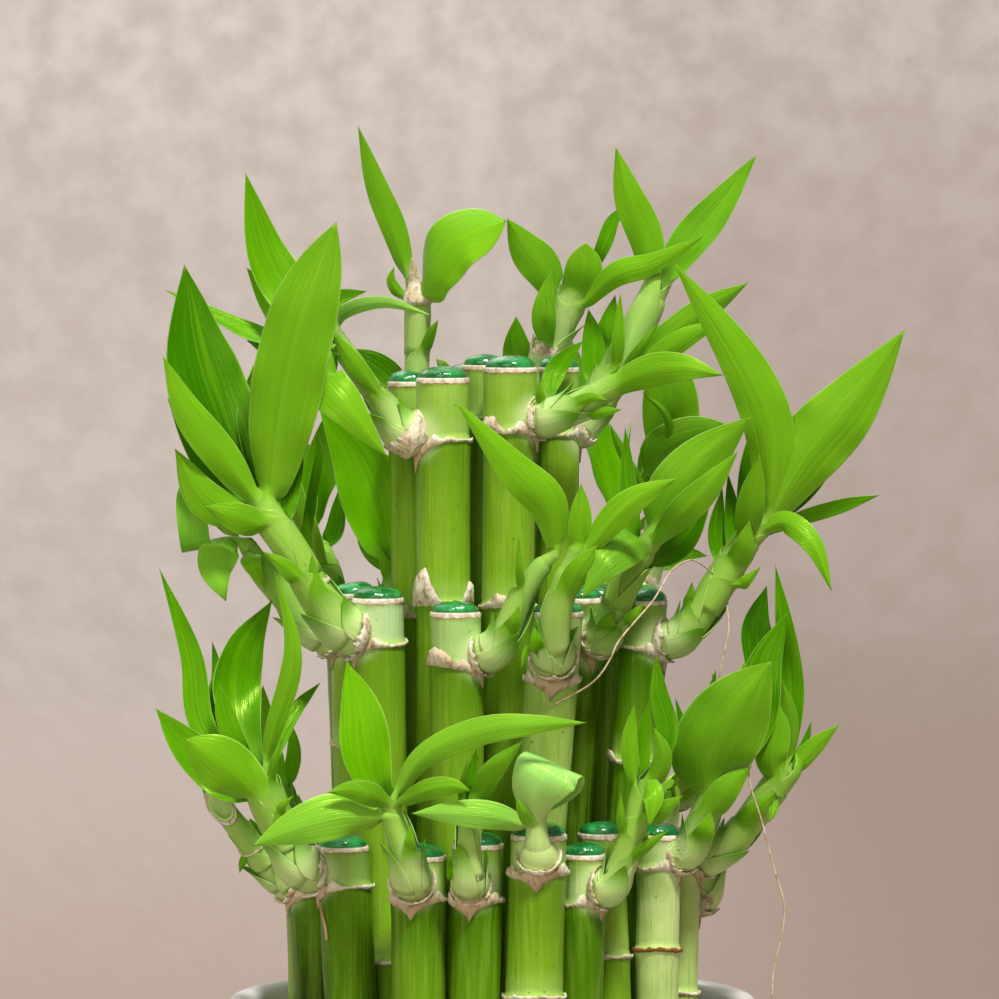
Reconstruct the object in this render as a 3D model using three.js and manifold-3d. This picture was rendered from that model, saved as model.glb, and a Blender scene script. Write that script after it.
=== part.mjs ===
// Lucky bamboo: three tiers of cut canes standing in a round ceramic pot filled with pebbles.
// Millimetres, +Z up. The origin is the centre of the pot's underside, and the front faces -Y.

import * as THREE from 'three';
import { mergeVertices } from 'three/addons/utils/BufferGeometryUtils.js';
import Module from 'manifold-3d';

const wasm = await Module();
wasm.setup();

// Driving dimensions of the pot and its filling
const POT_RADIUS = 56.5;
const POT_HEIGHT = 75;
const POT_WALL = 4;
const POT_FOOT_RADIUS = 40;
const POT_WAIST = { outer: 49, inner: 47.5, z: 23 };
const POT_SHOULDER = { outer: 54.5, inner: 52, z: 55 };
const POT_FLOOR = 6;
const POT_LIP = 1.4;
const POT_SIDES = 32;
const BED_TOP = 64;
const PEBBLE_RADIUS = 4.6;
const PEBBLE_COUNT = 17;
const PEBBLE_FLATNESS = 0.62;
const PEBBLE_STEP = 0.4;
const GOLDEN_TURN = 2.4;
const BED_GAP = 0.4;

// Driving dimensions of the canes, shoots and leaves
const RIM_LEVEL = 76;
const CANE_FOOT = 48;
const CANE_SIDES = 7;
const RING_PROUD = 0.7;
const RING_HALF = 1.5;
const CUT_EDGE = 0.4;
const WAX_HEIGHT = 2.6;
const WAX_SHARE = 0.8;
const SHOOT_SIDES = 6;
const LEAF_THICKNESS = 0.8;
const CLEARANCE = 0.3;
const LEAF_CUP = 0.16;
const SHORTEST_FAR_LEAF = 16;

// The shoots are drawn as an eye in front of the pot sees them. In every row a point is
// [x, depth, z]: x and z are where the eye sees it in the upright plane through the pot's axis,
// and depth is how far behind (+) or in front of (-) that plane it really lies.
const EYE = new THREE.Vector3(1.6, -1199, 227.5);

// Canes: x and depth at the top, z of the cut, x and depth at the pot's rim, radius above and
// below the upper ring, then the heights of the rings.
const CANES = {
  low_cane_1: [-38.6, -9.8, 104, -37, -9.8, 5.2, 5.3, [97.5]],
  low_cane_2: [-31.8, -26, 107.5, -30.2, -25, 5.4, 5.5, [99]],
  low_cane_3: [-15.4, -36, 105.5, -15.7, -35.5, 5.5, 5.7, [96.3]],
  low_cane_4: [-3, -38, 108, -3.6, -37.5, 5.2, 5.2, [96]],
  low_cane_5: [10, -39.8, 110, 9, -39.5, 5.8, 5.9, [102, 75.5]],
  low_cane_6: [19.6, -31.5, 105.8, 18.6, -31, 4.5, 5.1, [95.3]],
  low_cane_7: [23.2, -20.6, 110.3, 24.8, -20.6, 4.8, 4.8, [84]],
  low_cane_8: [35.6, -17.8, 110, 35.2, -16.6, 4.5, 4.6, [103, 85.5]],
  low_cane_9: [39.8, -4.6, 109, 38.8, -4.5, 4.9, 4.9, [103, 76.3]],
  low_cane_10: [-39.2, 4.6, 108, -38.4, 4.5, 5.0, 5.1, [98]],
  low_cane_11: [-35.6, 18, 109, -34.8, 17.4, 4.9, 5.0, [99, 84]],
  low_cane_12: [-24.6, 22.4, 106, -24.2, 21.5, 4.9, 5.0, [95]],
  low_cane_13: [-18.4, 33.4, 107, -17.6, 32.5, 5.2, 5.4, [97]],
  low_cane_14: [-5.6, 37.4, 110, -5.2, 36.6, 5.6, 5.8, [100, 80]],
  low_cane_15: [6.6, 38.6, 106, 6.4, 37.8, 5.2, 5.4, [96]],
  low_cane_16: [18.6, 34.2, 109, 18, 33.2, 5.5, 5.6, [99]],
  low_cane_17: [31.4, 25.8, 107, 30.4, 25.2, 5.4, 5.5, [98, 82]],
  low_cane_18: [39.4, 10.2, 104, 38.4, 9.8, 5.0, 5.1, [95]],
  middle_cane_1: [-29.6, -3.6, 161.5, -27.4, -2.6, 4.9, 5.0, [150, 129]],
  middle_cane_2: [-24.3, -17, 160.5, -22.8, -15.5, 5.4, 5.5, [151, 83.3]],
  middle_cane_3: [-7.8, -26.5, 157.5, -7, -25.5, 5.3, 5.6, [146.3]],
  middle_cane_4: [14, -27, 157.5, 7.4, -24.4, 5.4, 5.5, [143]],
  middle_cane_5: [18.7, -12, 160.5, 14.6, -9.6, 4.7, 4.8, [151]],
  middle_cane_6: [32.6, -9, 160, 27.4, -8.4, 4.8, 5.3, [150, 126]],
  middle_cane_7: [-30.6, 9.6, 161, -27.4, 8.8, 4.9, 5.1, [150]],
  middle_cane_8: [-17.8, 12.8, 159, -15.8, 11.6, 4.8, 4.9, [149]],
  middle_cane_9: [-11.6, 25.6, 160, -10.2, 23.6, 5.3, 5.5, [150, 120]],
  middle_cane_10: [5.4, 26.8, 158, 4.2, 24.6, 5.3, 5.6, [148]],
  middle_cane_11: [22, 19.4, 161, 19.4, 18.6, 5.3, 5.5, [151]],
  middle_cane_12: [31.4, 5, 161, 28, 4, 5.0, 5.1, [150]],
  top_cane_1: [-17.7, 0.4, 206.5, -15.2, 0.4, 4.5, 4.5, [195, 156.5]],
  top_cane_2: [-10.4, -13, 207.3, -10.4, -12.4, 5.5, 5.7, [194, 159.3]],
  top_cane_3: [-2, -0.4, 210, -3, -0.4, 4.3, 4.3, [199]],
  top_cane_4: [3.9, -13.4, 209.5, 2.8, -11.6, 5.6, 5.5, [196, 158.8]],
  top_cane_5: [14.2, -2, 209.5, 13, 0.6, 4.3, 4.6, [195]],
  top_cane_6: [9.8, 12.4, 207, 8.4, 12, 5.0, 5.3, [195, 158]],
  top_cane_7: [-4.6, 12.8, 208, -4, 12, 5.2, 5.4, [196, 160]],
};

// Shoots seen from the front: the cane that each grows from, its stem as [x, depth, z, radius],
// and its leaves as [width, roll in degrees, base, ..., tip], in the order in which they are bent
// clear of each other. A roll of 0 shows the eye the whole width.
const SHOOTS = [
  ['middle_cane_2',
    [[-25, -18, 151.5, 4.0], [-32, -20.5, 154, 5.2], [-36.5, -22, 160, 4.5], [-42, -23, 169.5, 3.9],
      [-47, -23, 177, 3.7], [-50.3, -22.5, 182, 3.2]],
    [[15, -10, [-47.3, -23, 179], [-45, -27, 199], [-40.5, -30, 220], [-33, -31, 240.5]],
      [16, 15, [-50, -20, 180], [-57.5, -19, 197], [-62.7, -17, 213], [-65.4, -14, 231.5]],
      [7.6, 10, [-49.5, -24, 180], [-56.5, -28, 189.5], [-64.5, -31, 200], [-70, -32, 212]],
      [7, 30, [-50, -20, 178], [-59, -15, 187], [-69, -13, 203]],
      [8, 0, [-49, -24, 177], [-60.5, -27, 181], [-67.5, -28, 192.3]],
      [6.5, 0, [-47, -26, 175], [-54, -31, 177.5], [-61.3, -33, 180]],
      [3.6, 0, [-44, -22, 175], [-42.5, -20, 184], [-40, -18, 191]],
      [5, 45, [-49, -20, 182], [-52, -16, 198], [-50.8, -15, 210]],
      [3.2, 0, [-35.5, -25, 158], [-37.8, -26, 164], [-38.3, -26, 170]],
      [4, 0, [-40, -26, 163], [-44, -27.3, 167], [-49, -27.5, 170.5]]]],
  ['middle_cane_1',
    [[-31, -5, 151, 4.0], [-38.5, -7, 154, 4.1], [-43.5, -9, 160, 3.8], [-48.5, -10.5, 166, 3.7],
      [-52, -12, 171.5, 3.0]],
    [[8.5, 0, [-51.5, -12, 170], [-57.5, -15, 172.5], [-60, -18, 166.5], [-56.5, -20, 159.5]],
      [6, 0, [-51.5, -12, 170], [-51, -18, 167.5], [-48, -19, 162]],
      [4.6, 0, [-39, -6, 155], [-40, -4, 167], [-39.3, -4, 179]],
      [2.3, 0, [-40, -6, 158], [-39.2, -2, 176], [-36.9, -2, 190], [-37.3, -2, 195.5]]]],
  ['top_cane_2',
    [[-13, -14, 194.5, 4.0], [-19, -15.5, 196, 4.5], [-22.5, -16.5, 200.5, 3.2],
      [-26.5, -17.5, 206, 2.8], [-31, -18.5, 212.5, 2.6], [-33.5, -19, 217, 2.2]],
    [[9.5, 0, [-33, -19.5, 214], [-36.5, -24, 208], [-31, -28, 201], [-22.2, -28, 190.3]],
      [4, 0, [-22.5, -19, 201.5], [-29, -22.5, 210], [-34.2, -22.5, 217.4]],
      [3, 20, [-33.6, -19, 215.5], [-31.5, -20.5, 221], [-23, -24, 223.3], [-12.7, -27, 220.5]],
      [4, 0, [-33.6, -19, 215.5], [-33.5, -17, 223.5], [-26.5, -16, 225.8]],
      [10, 10, [-33, -18.5, 215], [-40.5, -12, 222], [-48, -9, 234], [-52.4, -8, 251]],
      [8, 0, [-33, -18.5, 214], [-43, -10, 220], [-52.2, -6, 230.7]],
      [3.4, 55, [-33, -18, 214], [-46, -9, 215], [-58, -8, 220], [-69.5, -8, 226]],
      [3.5, 50, [-32, -18, 213], [-44, -7, 212], [-52.3, -5, 215.3]]]],
  ['top_cane_1',
    [[-17, 2, 194, 3.0], [-16.5, 6.8, 200, 3.1], [-16.2, 7.5, 210, 3.0], [-15.8, 7.2, 221, 3.2],
      [-16.3, 7, 228, 2.6]],
    [[5.6, 0, [-17, 7, 225], [-20.3, 6, 237.5], [-24.7, 5, 248.5], [-28.5, 4, 261]],
      [12, 0, [-14.8, 6, 222.5], [-12.5, 0, 232.5], [-6, -5, 236.8], [3, -8, 240.6]],
      [2.5, 0, [-15, 6, 211], [-13, 3, 216.5], [-11.4, 2, 219.7]],
      [2.6, 0, [-18, 6.5, 223], [-21.3, 5, 227.5], [-20.8, 5, 231]],
      [7, 0, [-17, 7, 203], [-24, 8, 209], [-30.5, 9, 213.6]],
      [6, 0, [-17, 7, 201], [-22.5, 9, 206], [-25, 10, 211]]]],
  ['top_cane_6',
    [[10.4, 11, 197, 3.4], [10.5, 9.4, 205, 3.7], [11.5, 8.4, 212, 3.9], [15, 7, 220, 3.8],
      [18, 6, 226.5, 3.5], [19.5, 5.5, 230, 2.8]],
    [[8.2, 0, [18, 5, 223], [19.4, 1, 229.5], [20, 0, 236]],
      [8.6, 0, [14.5, 6, 222], [11, 4, 230], [7, 3, 235], [3.1, 2, 241.3]],
      [5.2, 0, [12, 5, 213], [11, 2.5, 221], [12.7, 2, 230.2]],
      [2.8, 0, [11.8, 5, 212], [12, 0, 219.5], [11.6, -0.5, 225.3]],
      [5.6, 0, [18, 5, 221], [26, -1, 229], [34, -3, 231.5], [45.2, -4, 237.5]],
      [3.4, 0, [19, 6, 226], [23.5, 8, 235], [25.6, 9, 240.5], [28.7, 9, 244]],
      [7, 0, [9, 11, 205], [5.6, 14, 212], [5.1, 15, 220.5]]]],
  ['top_cane_5',
    [[15.5, -2, 193.5, 3.2], [20, 0, 198, 3.8], [24, 1, 205, 4.2], [29, 1, 214, 4.4],
      [33, 1, 222, 4.2], [35.6, 1, 227.5, 3.2]],
    [[2.8, 0, [26, -1, 206], [26.8, -4.5, 215], [27.3, -5, 225.4]],
      [7.6, 0, [34, 1, 224], [33, 0, 236], [29, -2, 246], [26.2, -3, 256.5]],
      [8, -10, [35, 2, 225], [41, 2, 235], [48, 1, 243.5], [56.3, 0, 254.8]],
      [7, 10, [25, 0, 207], [35, -3, 213.5], [45, -4, 221.5], [54.6, -4, 227.6]],
      [2.2, 0, [27, -1, 208], [31.5, -6, 213.5], [35.8, -7, 219.6]],
      [4.8, 0, [27, -2, 207], [36, -7, 212.5], [42.5, -9, 216.5], [49.3, -10, 219.2]],
      [5, 0, [21, 2, 204], [21.5, 5, 214], [20.5, 5, 222]],
      [5, 0, [23, 3, 207], [24.3, 7, 216], [26.2, 8, 225]]]],
  ['top_cane_4',
    [[6, -14, 198.5, 3.6], [12.5, -15.8, 199, 3.9], [17.5, -17.3, 201, 3.7], [23, -18.3, 204, 3.4],
      [27, -19, 206.3, 2.9]],
    [[7.2, 0, [24, -19, 203.8], [31.5, -24, 208], [40, -28, 209.5], [49.3, -30, 207.8]],
      [4.5, 0, [11, -15, 202], [14, -10.5, 209.5], [19.4, -9.5, 215.2]],
      [2.8, 0, [16, -20, 200.5], [20.5, -22, 203], [24.8, -22.5, 202.5]],
      [3, 0, [18, -19, 199.5], [23.5, -20.5, 200], [27.7, -21, 200.6]],
      [2.4, 0, [20, -17, 203], [24, -14.5, 206], [27.3, -13.5, 210]],
      [1.8, 0, [25, -20, 204.3], [32, -23, 205.6], [38.2, -24, 206.3]],
      [2.4, 0, [11, -16, 200.5], [10.2, -19, 203.5], [10, -19.5, 207.3]]]],
  ['middle_cane_3',
    [[-5, -27, 147.5, 4.2], [0.5, -29.5, 149.5, 4.5], [3.5, -31, 154, 3.5], [6.5, -32, 161, 3.0],
      [10.5, -33, 167, 2.7], [13.5, -34, 169.5, 2.2]],
    [[8.6, 0, [13.5, -34, 169], [12, -38, 180], [4.5, -41, 188], [-7.8, -42, 202.5]],
      [3.6, 0, [1.8, -32, 151], [4.5, -35.5, 155], [5.8, -36, 158.7]],
      [1.8, 0, [6.6, -33, 160], [5.8, -36.5, 166.5], [5.7, -37, 173.8]]]],
  ['middle_cane_4',
    [[13.5, -29, 146, 4.4], [13, -34, 149, 4.2], [13.5, -38, 156, 3.5], [15.5, -40, 164, 3.1],
      [18, -41, 170, 2.6]],
    [[4.9, 0, [18, -41, 167.5], [18.8, -43.5, 177], [19, -44, 184.9]],
      [6.2, 0, [18.8, -41.5, 168], [25, -44.5, 176.5], [31, -46, 181.8], [39.6, -47, 186]],
      [5, 0, [15, -41, 159], [18, -44.5, 166], [22.6, -45, 171.9]],
      [3, 0, [11.6, -37, 147], [9.5, -40, 151], [9.2, -39.5, 154.6]],
      [1.9, 0, [10, -34, 151.5], [7.4, -35.5, 149], [6.1, -35.5, 145]]]],
  ['middle_cane_5',
    [[20, -14.5, 150, 3.4], [24, -18, 153, 4.0], [26, -20.5, 158, 3.9], [28.5, -22.5, 164, 3.7],
      [32, -24.5, 170, 3.4], [34.6, -25.5, 173.5, 2.8]],
    [[12, 0, [33.3, -25, 171], [38, -28, 181.5], [45.5, -29, 190.5], [55.2, -30, 199.2]],
      [8.6, 0, [32.5, -26, 171.5], [27.5, -32, 173], [23, -36, 168], [18.8, -37, 160.2]],
      [6.6, 0, [33.5, -26, 171], [40, -34, 178], [46, -36.5, 184], [52.4, -37, 191.7]],
      [3.8, 0, [31, -23, 168.5], [29.2, -20, 182], [28.3, -19, 197]],
      [8, 20, [32, -23, 168], [39.5, -17, 173.5], [47, -15, 184]],
      [4, 0, [24, -20.5, 152], [24.6, -24.8, 155.2], [25.8, -25, 157.8]],
      [3.2, 0, [27, -22, 153.5], [30, -24.5, 156.5], [32.3, -24.5, 159.3]]]],
  ['middle_cane_6',
    [[33, -10, 151.5, 4.1], [39.5, -11.5, 152, 4.5], [44, -12.5, 156.5, 4.1], [49, -13.5, 164.5, 3.7],
      [53.5, -14, 171.3, 3.6], [57.8, -14.5, 176, 3.0]],
    [[10.6, 0, [58, -15, 175], [59.5, -18, 193], [54, -20, 209], [38.5, -20, 232]],
      [14.6, 0, [57.5, -14, 175], [66.5, -17, 190.5], [76.5, -19, 202], [87.9, -19, 217.7]],
      [3.4, 20, [57, -13.5, 174], [66, -11, 177.6], [75, -10, 180.3], [82.6, -9, 182.4]],
      [5, 0, [57, -16, 174.3], [62.5, -19, 176.6], [68.5, -22, 171.5], [72.4, -23, 161.7]],
      [6, 0, [54, -16, 171], [55, -21, 180], [57, -23, 191]],
      [4, 0, [57.5, -12.5, 175.5], [66, -8, 182.5], [74, -7, 190.5]],
      [3, 0, [57.5, -12.5, 175.5], [62.5, -7, 190], [65, -6, 198.2]],
      [5.5, 0, [53.5, -12, 172], [55, -8, 185], [54.6, -8, 195.2]],
      [3.8, 0, [49.5, -12, 165], [47.8, -9, 174], [49, -9, 184]],
      [3.4, 0, [51, -12.5, 167.5], [51.2, -9.5, 177], [50.2, -9, 187]],
      [2.7, 0, [41, -13, 157], [42.2, -15, 160.5], [42.6, -15, 163.9]],
      [3, 0, [51.5, -15, 162], [54, -17, 164], [57.3, -17.5, 167.1]],
      [5, 0, [51, -16, 166], [53.6, -19.5, 171.5], [54.8, -20, 177]]]],
  ['low_cane_1',
    [[-40, -9.5, 98, 3.8], [-45, -10.8, 100.5, 4.2], [-49, -12, 104.5, 3.8], [-53.5, -13, 110.5, 3.4],
      [-57.6, -13.5, 116, 3.0]],
    [[2.2, 0, [-51, -15, 106.5], [-53, -17, 104.3], [-53.9, -17, 101.6]],
      [4, 0, [-55, -12.5, 112.5], [-59.5, -10, 118.5], [-62.5, -9.5, 124]]]],
  ['low_cane_2',
    [[-34, -26, 101.5, 4.2], [-41, -28, 103, 4.6], [-44.5, -29, 108.5, 3.7], [-47, -30, 115, 4.2],
      [-49.5, -31, 122, 4.1], [-50.6, -31, 125.5, 3.2]],
    [[11.4, 0, [-48.5, -31.5, 116], [-54.5, -36, 122.5], [-60, -38, 126.7], [-65.3, -39, 130.4]],
      [8.6, 0, [-50, -30, 117.5], [-57, -27, 121.5], [-65, -26, 129], [-71.7, -25, 136.9]],
      [5.6, 0, [-50, -29.5, 119], [-61.5, -23, 133], [-64.1, -20, 148.5], [-70.9, -18, 167]],
      [4.4, 0, [-49.2, -32, 122], [-46.5, -35, 132.5], [-43, -37, 144], [-42.8, -37, 153],
        [-46.4, -35, 166.5]],
      [10, 20, [-50.5, -29, 123.5], [-54.4, -19, 138], [-53, -16, 149], [-46.8, -14, 160]],
      [4.6, 0, [-50, -30, 121], [-56, -29, 133], [-58.4, -28, 142.8]],
      [3, 0, [-50.5, -30, 121], [-59, -20, 135], [-58.5, -16, 144], [-59.6, -15, 151.4]],
      [3.2, 0, [-48.5, -29, 121], [-43, -18, 134.8], [-36.5, -13, 142.5]],
      [2.6, 0, [-45.5, -31, 112], [-45, -34, 115.5], [-42.2, -34.5, 118.3]],
      [1.9, 0, [-47.5, -32.5, 118], [-46.6, -35.5, 125], [-44.4, -36, 131]]]],
  ['low_cane_3',
    [[-16.3, -38, 99, 4.7], [-17.5, -42, 100.5, 5.0], [-19, -44.5, 106, 4.1], [-21, -45.5, 113, 3.5],
      [-22, -46, 117.5, 2.9]],
    [[10.3, 0, [-22.8, -45.5, 115.5], [-26.4, -46.5, 126], [-28, -46, 136.5], [-31, -44, 147]],
      [6, 0, [-21, -46, 116.5], [-15, -50, 126], [-3, -54, 131.8], [9, -56, 133.4], [20.4, -56, 133.8]],
      [9.6, 0, [-22, -46.5, 113], [-31.5, -51, 114], [-41, -53, 111.7], [-51.2, -53, 107.4]],
      [5, 0, [-21.5, -47, 115], [-25.5, -51.5, 118.2], [-30, -53, 119.4], [-35.2, -54, 118.9]],
      [4.4, 0, [-21.5, -47, 115], [-15, -52, 119], [-9, -54, 120.2], [-4.4, -54, 119.2]],
      [2.8, 0, [-17.5, -46, 103.5], [-17.6, -48.5, 108], [-17.3, -48.5, 112.2]]]],
  ['low_cane_4',
    [[-4.2, -40.5, 99, 4.3], [-5, -44, 100, 4.2], [-5, -45.5, 106, 3.3], [-4.6, -46, 113, 2.9],
      [-4, -46, 117, 2.4]],
    [[4.7, 0, [-4.3, -46, 114], [-0.5, -48.5, 122.5], [6.6, -50, 130]],
      [3, 0, [-4.6, -46, 113], [-4.5, -45, 121.5], [-3.2, -44.5, 128.6]],
      [2.2, 0, [-5.2, -46, 112], [-6.2, -47, 119], [-5.2, -47.5, 126.2]],
      [2.3, 0, [-7, -44.5, 98], [-8.7, -46.5, 101.5], [-8.9, -46.5, 104.8]]]],
  ['low_cane_5',
    [[10, -41.5, 103.8, 4.1], [10, -44.5, 105, 4.1], [9.7, -46.5, 109, 3.5], [9.5, -47, 113, 2.8]],
    [[11.5, 0, [9.6, -47, 110.5], [7.8, -50, 118], [10.2, -52.5, 123.6], [18.2, -54, 122]],
      [6, 0, [9, -47.5, 111], [1, -51, 113.7], [-8, -52.5, 114.5], [-17.3, -53, 114.4]],
      [2.6, 0, [8.8, -48, 110.5], [6.6, -52.5, 114.5], [5, -53.5, 118]]]],
  ['low_cane_6',
    [[20.5, -33, 98.5, 3.6], [25.5, -35.5, 99, 4.0], [27.8, -37, 104, 3.3], [30, -38, 111, 3.1],
      [32, -38.5, 118, 2.8], [33.3, -39, 122, 2.4]],
    [[3.6, 0, [31.6, -39, 117], [29.3, -40, 128], [30.3, -40, 137.8]],
      [4.6, 0, [33, -38.5, 119.5], [37.3, -37, 131], [35.6, -36, 140], [35, -35, 148.4]],
      [4.2, 0, [33.6, -40, 119], [36.4, -42.5, 126.5], [34.3, -43, 133]],
      [5.2, 0, [31.6, -40, 121], [34.3, -44, 118], [33.5, -45, 111.5]],
      [3.2, 0, [32.4, -38.5, 119], [32.2, -36.5, 129], [33.4, -36, 138.4]],
      [2.6, 0, [28.5, -38.5, 103.5], [33, -42, 107.5], [37.7, -43, 110.8]],
      [4.6, 0, [31.5, -39, 111.5], [36, -42, 115], [40.7, -43, 118.2]],
      [2.4, 0, [29, -38.5, 108.5], [27.6, -41, 113], [27.3, -41.5, 119]]]],
  ['low_cane_8',
    [[37, -18, 104, 3.5], [42, -20.5, 106.5, 3.7], [44.5, -22, 112, 3.4], [46.5, -23, 118, 3.1],
      [48, -23.5, 122, 2.6]],
    [[17.5, 0, [45.3, -23, 116], [46.2, -28, 126], [52, -31, 136.5], [59.5, -32, 147]],
      [9, 0, [47.6, -22.5, 120], [55.5, -18, 133], [58, -16, 146], [62.8, -15, 157.3]],
      [6, 0, [45, -24, 111.5], [49.5, -27, 119], [55.4, -27.5, 124.7]],
      [4.6, 0, [43.3, -23.5, 107], [45.5, -26.5, 110.8], [46.7, -26.5, 114.9]],
      [3.6, 0, [46.7, -21.5, 119], [45.7, -15, 133], [47.7, -14, 145.3]],
      [2.6, 0, [46.4, -21.5, 118.5], [42, -14, 129], [39, -13, 139.3]]]],
  ['low_cane_9',
    [[42, -5.5, 104, 3.6], [48, -8.5, 106.3, 3.9], [53, -10.5, 110.5, 3.6], [58, -12, 117, 3.5],
      [62, -13, 122.5, 3.2], [63.6, -13.3, 125, 2.6]],
    [[5.4, 0, [62.5, -13, 122], [63.9, -11, 138], [62.6, -9, 152], [60.3, -8, 167.6]],
      [7, 10, [60.5, -12, 121], [57, -7, 147], [56.3, -6, 155], [58.5, -6, 163.1]],
      [7, 0, [61, -13.5, 119.5], [59.5, -18, 126], [60.7, -19, 132.5], [60.5, -19, 139.5]],
      [3.8, 0, [62.7, -14, 123], [63.4, -16, 134], [61.8, -16.5, 143]],
      [4.1, 0, [62, -13, 121], [68, -14, 128], [74, -14.5, 133.5]],
      [2.2, 0, [63, -12, 123.5], [66.5, -9.5, 129], [68.1, -9.5, 134.2]],
      [4.6, 0, [52.5, -13, 110.5], [56, -16.5, 115], [60.7, -17.5, 119]],
      [2.2, 0, [61, -14.5, 119], [60, -17, 115], [59, -17.5, 112.4]]]],
  ['middle_cane_8',
    [[-17.5, 9.5, 156, 2.9], [-20.6, 7.6, 162, 2.9], [-21.6, 6.6, 168, 2.3]],
    [[13, 0, [-21.6, 6.6, 166], [-24.6, 4.5, 178], [-29, 3.5, 190], [-37, 2.5, 201.5]],
      [2.6, 0, [-21.8, 7, 167], [-26.5, 7.5, 176], [-33.2, 7.5, 183]],
      [3, 0, [-20.5, 7, 162], [-22.6, 3.5, 167], [-24, 3, 172]]]],
  ['middle_cane_12',
    [[30.5, 6.4, 158, 3.2], [33, 10, 165, 3.1], [35, 10.5, 176, 2.9], [36, 10.5, 187, 2.4]],
    [[12.2, 0, [36.2, 10.5, 185], [38, 9, 196], [37.6, 8, 207], [36, 8, 216]],
      [8.4, 10, [35.8, 10, 184], [35.5, 6, 191.5], [43, 4, 195.7], [51.5, 3, 197]],
      [1.8, 0, [36, 9.5, 186], [37.5, 3, 198], [31.9, 2, 204.3]],
      [3.4, 0, [34, 10.5, 166], [41, 12, 169.6], [46, 13, 169.4]],
      [2.2, 0, [34.5, 8, 180], [28, 2, 191], [25, 1, 197.6]]]],
];

// Shoots of the far side: the cane, the front shoot that it repeats, how far that one is turned
// about the upright axis in degrees, and how much of its reach and of its rise it has.
const FAR_SHOOTS = [
  ['low_cane_10', 'low_cane_6', 150, 0.9, 0.8],
  ['low_cane_11', 'low_cane_4', 230, 1.1, 0.9],
  ['low_cane_13', 'low_cane_8', 112, 0.9, 0.85],
  ['low_cane_14', 'low_cane_3', 176, 0.8, 0.9],
  ['low_cane_15', 'low_cane_6', 84, 1, 0.9],
  ['low_cane_16', 'low_cane_5', 165, 0.8, 1],
  ['low_cane_17', 'low_cane_2', 232, 0.85, 0.75],
  ['low_cane_18', 'low_cane_4', 120, 1, 0.7],
  ['middle_cane_7', 'middle_cane_6', 128, 0.75, 0.7],
  ['middle_cane_9', 'middle_cane_5', 150, 0.8, 0.85],
  ['middle_cane_10', 'middle_cane_3', 100, 0.8, 0.8],
  ['middle_cane_11', 'middle_cane_2', 238, 0.8, 0.72],
  ['top_cane_7', 'top_cane_4', 112, 0.8, 0.6],
];

// How far a leaf is bent towards or away from the eye at its tip until it is clear of the others
const BENDS = [0, 3, -3, 6, -6, 9, -9, 12, -12, 16, -16, 20, -20, 25, -25];

const CERAMIC = { color: '#d6d7d1', roughness: 0.3, metalness: 0 };
const STONE = { color: '#b9b2a4', roughness: 0.75, metalness: 0 };
const LIVING_GREEN = { color: '#6fa61c', roughness: 0.45, metalness: 0 };

// A point of a row, moved along the eye's line of sight to its own depth
function sight([x, depth, z]) {
  const onPlane = new THREE.Vector3(x, 0, z);
  return EYE.clone().lerp(onPlane, (depth - EYE.y) / -EYE.y);
}

// A closed mesh as a solid, without the triangles that merging leaves flat
function solidOf(geometry) {
  const bare = geometry.clone();
  bare.deleteAttribute('normal');
  bare.deleteAttribute('uv');
  const merged = mergeVertices(bare, 1e-5);
  const corners = [];
  for (let i = 0; i < merged.index.count; i += 3) {
    const [a, b, c] = [0, 1, 2].map((k) => merged.index.getX(i + k));
    if (a !== b && b !== c && c !== a) corners.push(a, b, c);
  }
  return new wasm.Manifold(new wasm.Mesh({
    numProp: 3,
    vertProperties: new Float32Array(merged.attributes.position.array),
    triVerts: new Uint32Array(corners),
  }));
}

// A solid as a geometry that a mesh can show
function geometryOf(solid) {
  const mesh = solid.getMesh();
  const geometry = new THREE.BufferGeometry();
  geometry.setAttribute('position', new THREE.BufferAttribute(mesh.vertProperties, 3));
  geometry.setIndex(new THREE.BufferAttribute(mesh.triVerts, 1));
  geometry.computeVertexNormals();
  return geometry;
}

// The largest body of a solid: loose scraps are dropped and sealed pockets are filled
function mainBody(solid) {
  const bodies = solid.decompose();
  return bodies.reduce((best, body) => (body.volume() > best.volume() ? body : best));
}

// A solid through rings of points, closed by flat ends or by a last single point.
// The second half of each ring is split the other way, so both faces of a blade are split alike.
function loft(rings, apex) {
  const sides = rings[0].length;
  const points = rings.flat();
  const corners = [];
  for (let r = 0; r + 1 < rings.length; r += 1) {
    for (let s = 0; s < sides; s += 1) {
      const next = (s + 1) % sides;
      const [a, b] = [r * sides + s, r * sides + next];
      const [c, d] = [b + sides, a + sides];
      if (s < sides / 2) corners.push(a, b, c, a, c, d);
      else corners.push(a, b, d, b, c, d);
    }
  }
  for (let s = 1; s + 1 < sides; s += 1) corners.push(0, s + 1, s);
  const last = (rings.length - 1) * sides;
  if (apex) {
    points.push(apex);
    for (let s = 0; s < sides; s += 1) corners.push(last + s, last + ((s + 1) % sides), points.length - 1);
  } else {
    for (let s = 1; s + 1 < sides; s += 1) corners.push(last, last + s, last + s + 1);
  }
  const geometry = new THREE.BufferGeometry().setFromPoints(points);
  geometry.setIndex(corners);
  return solidOf(geometry);
}

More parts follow.
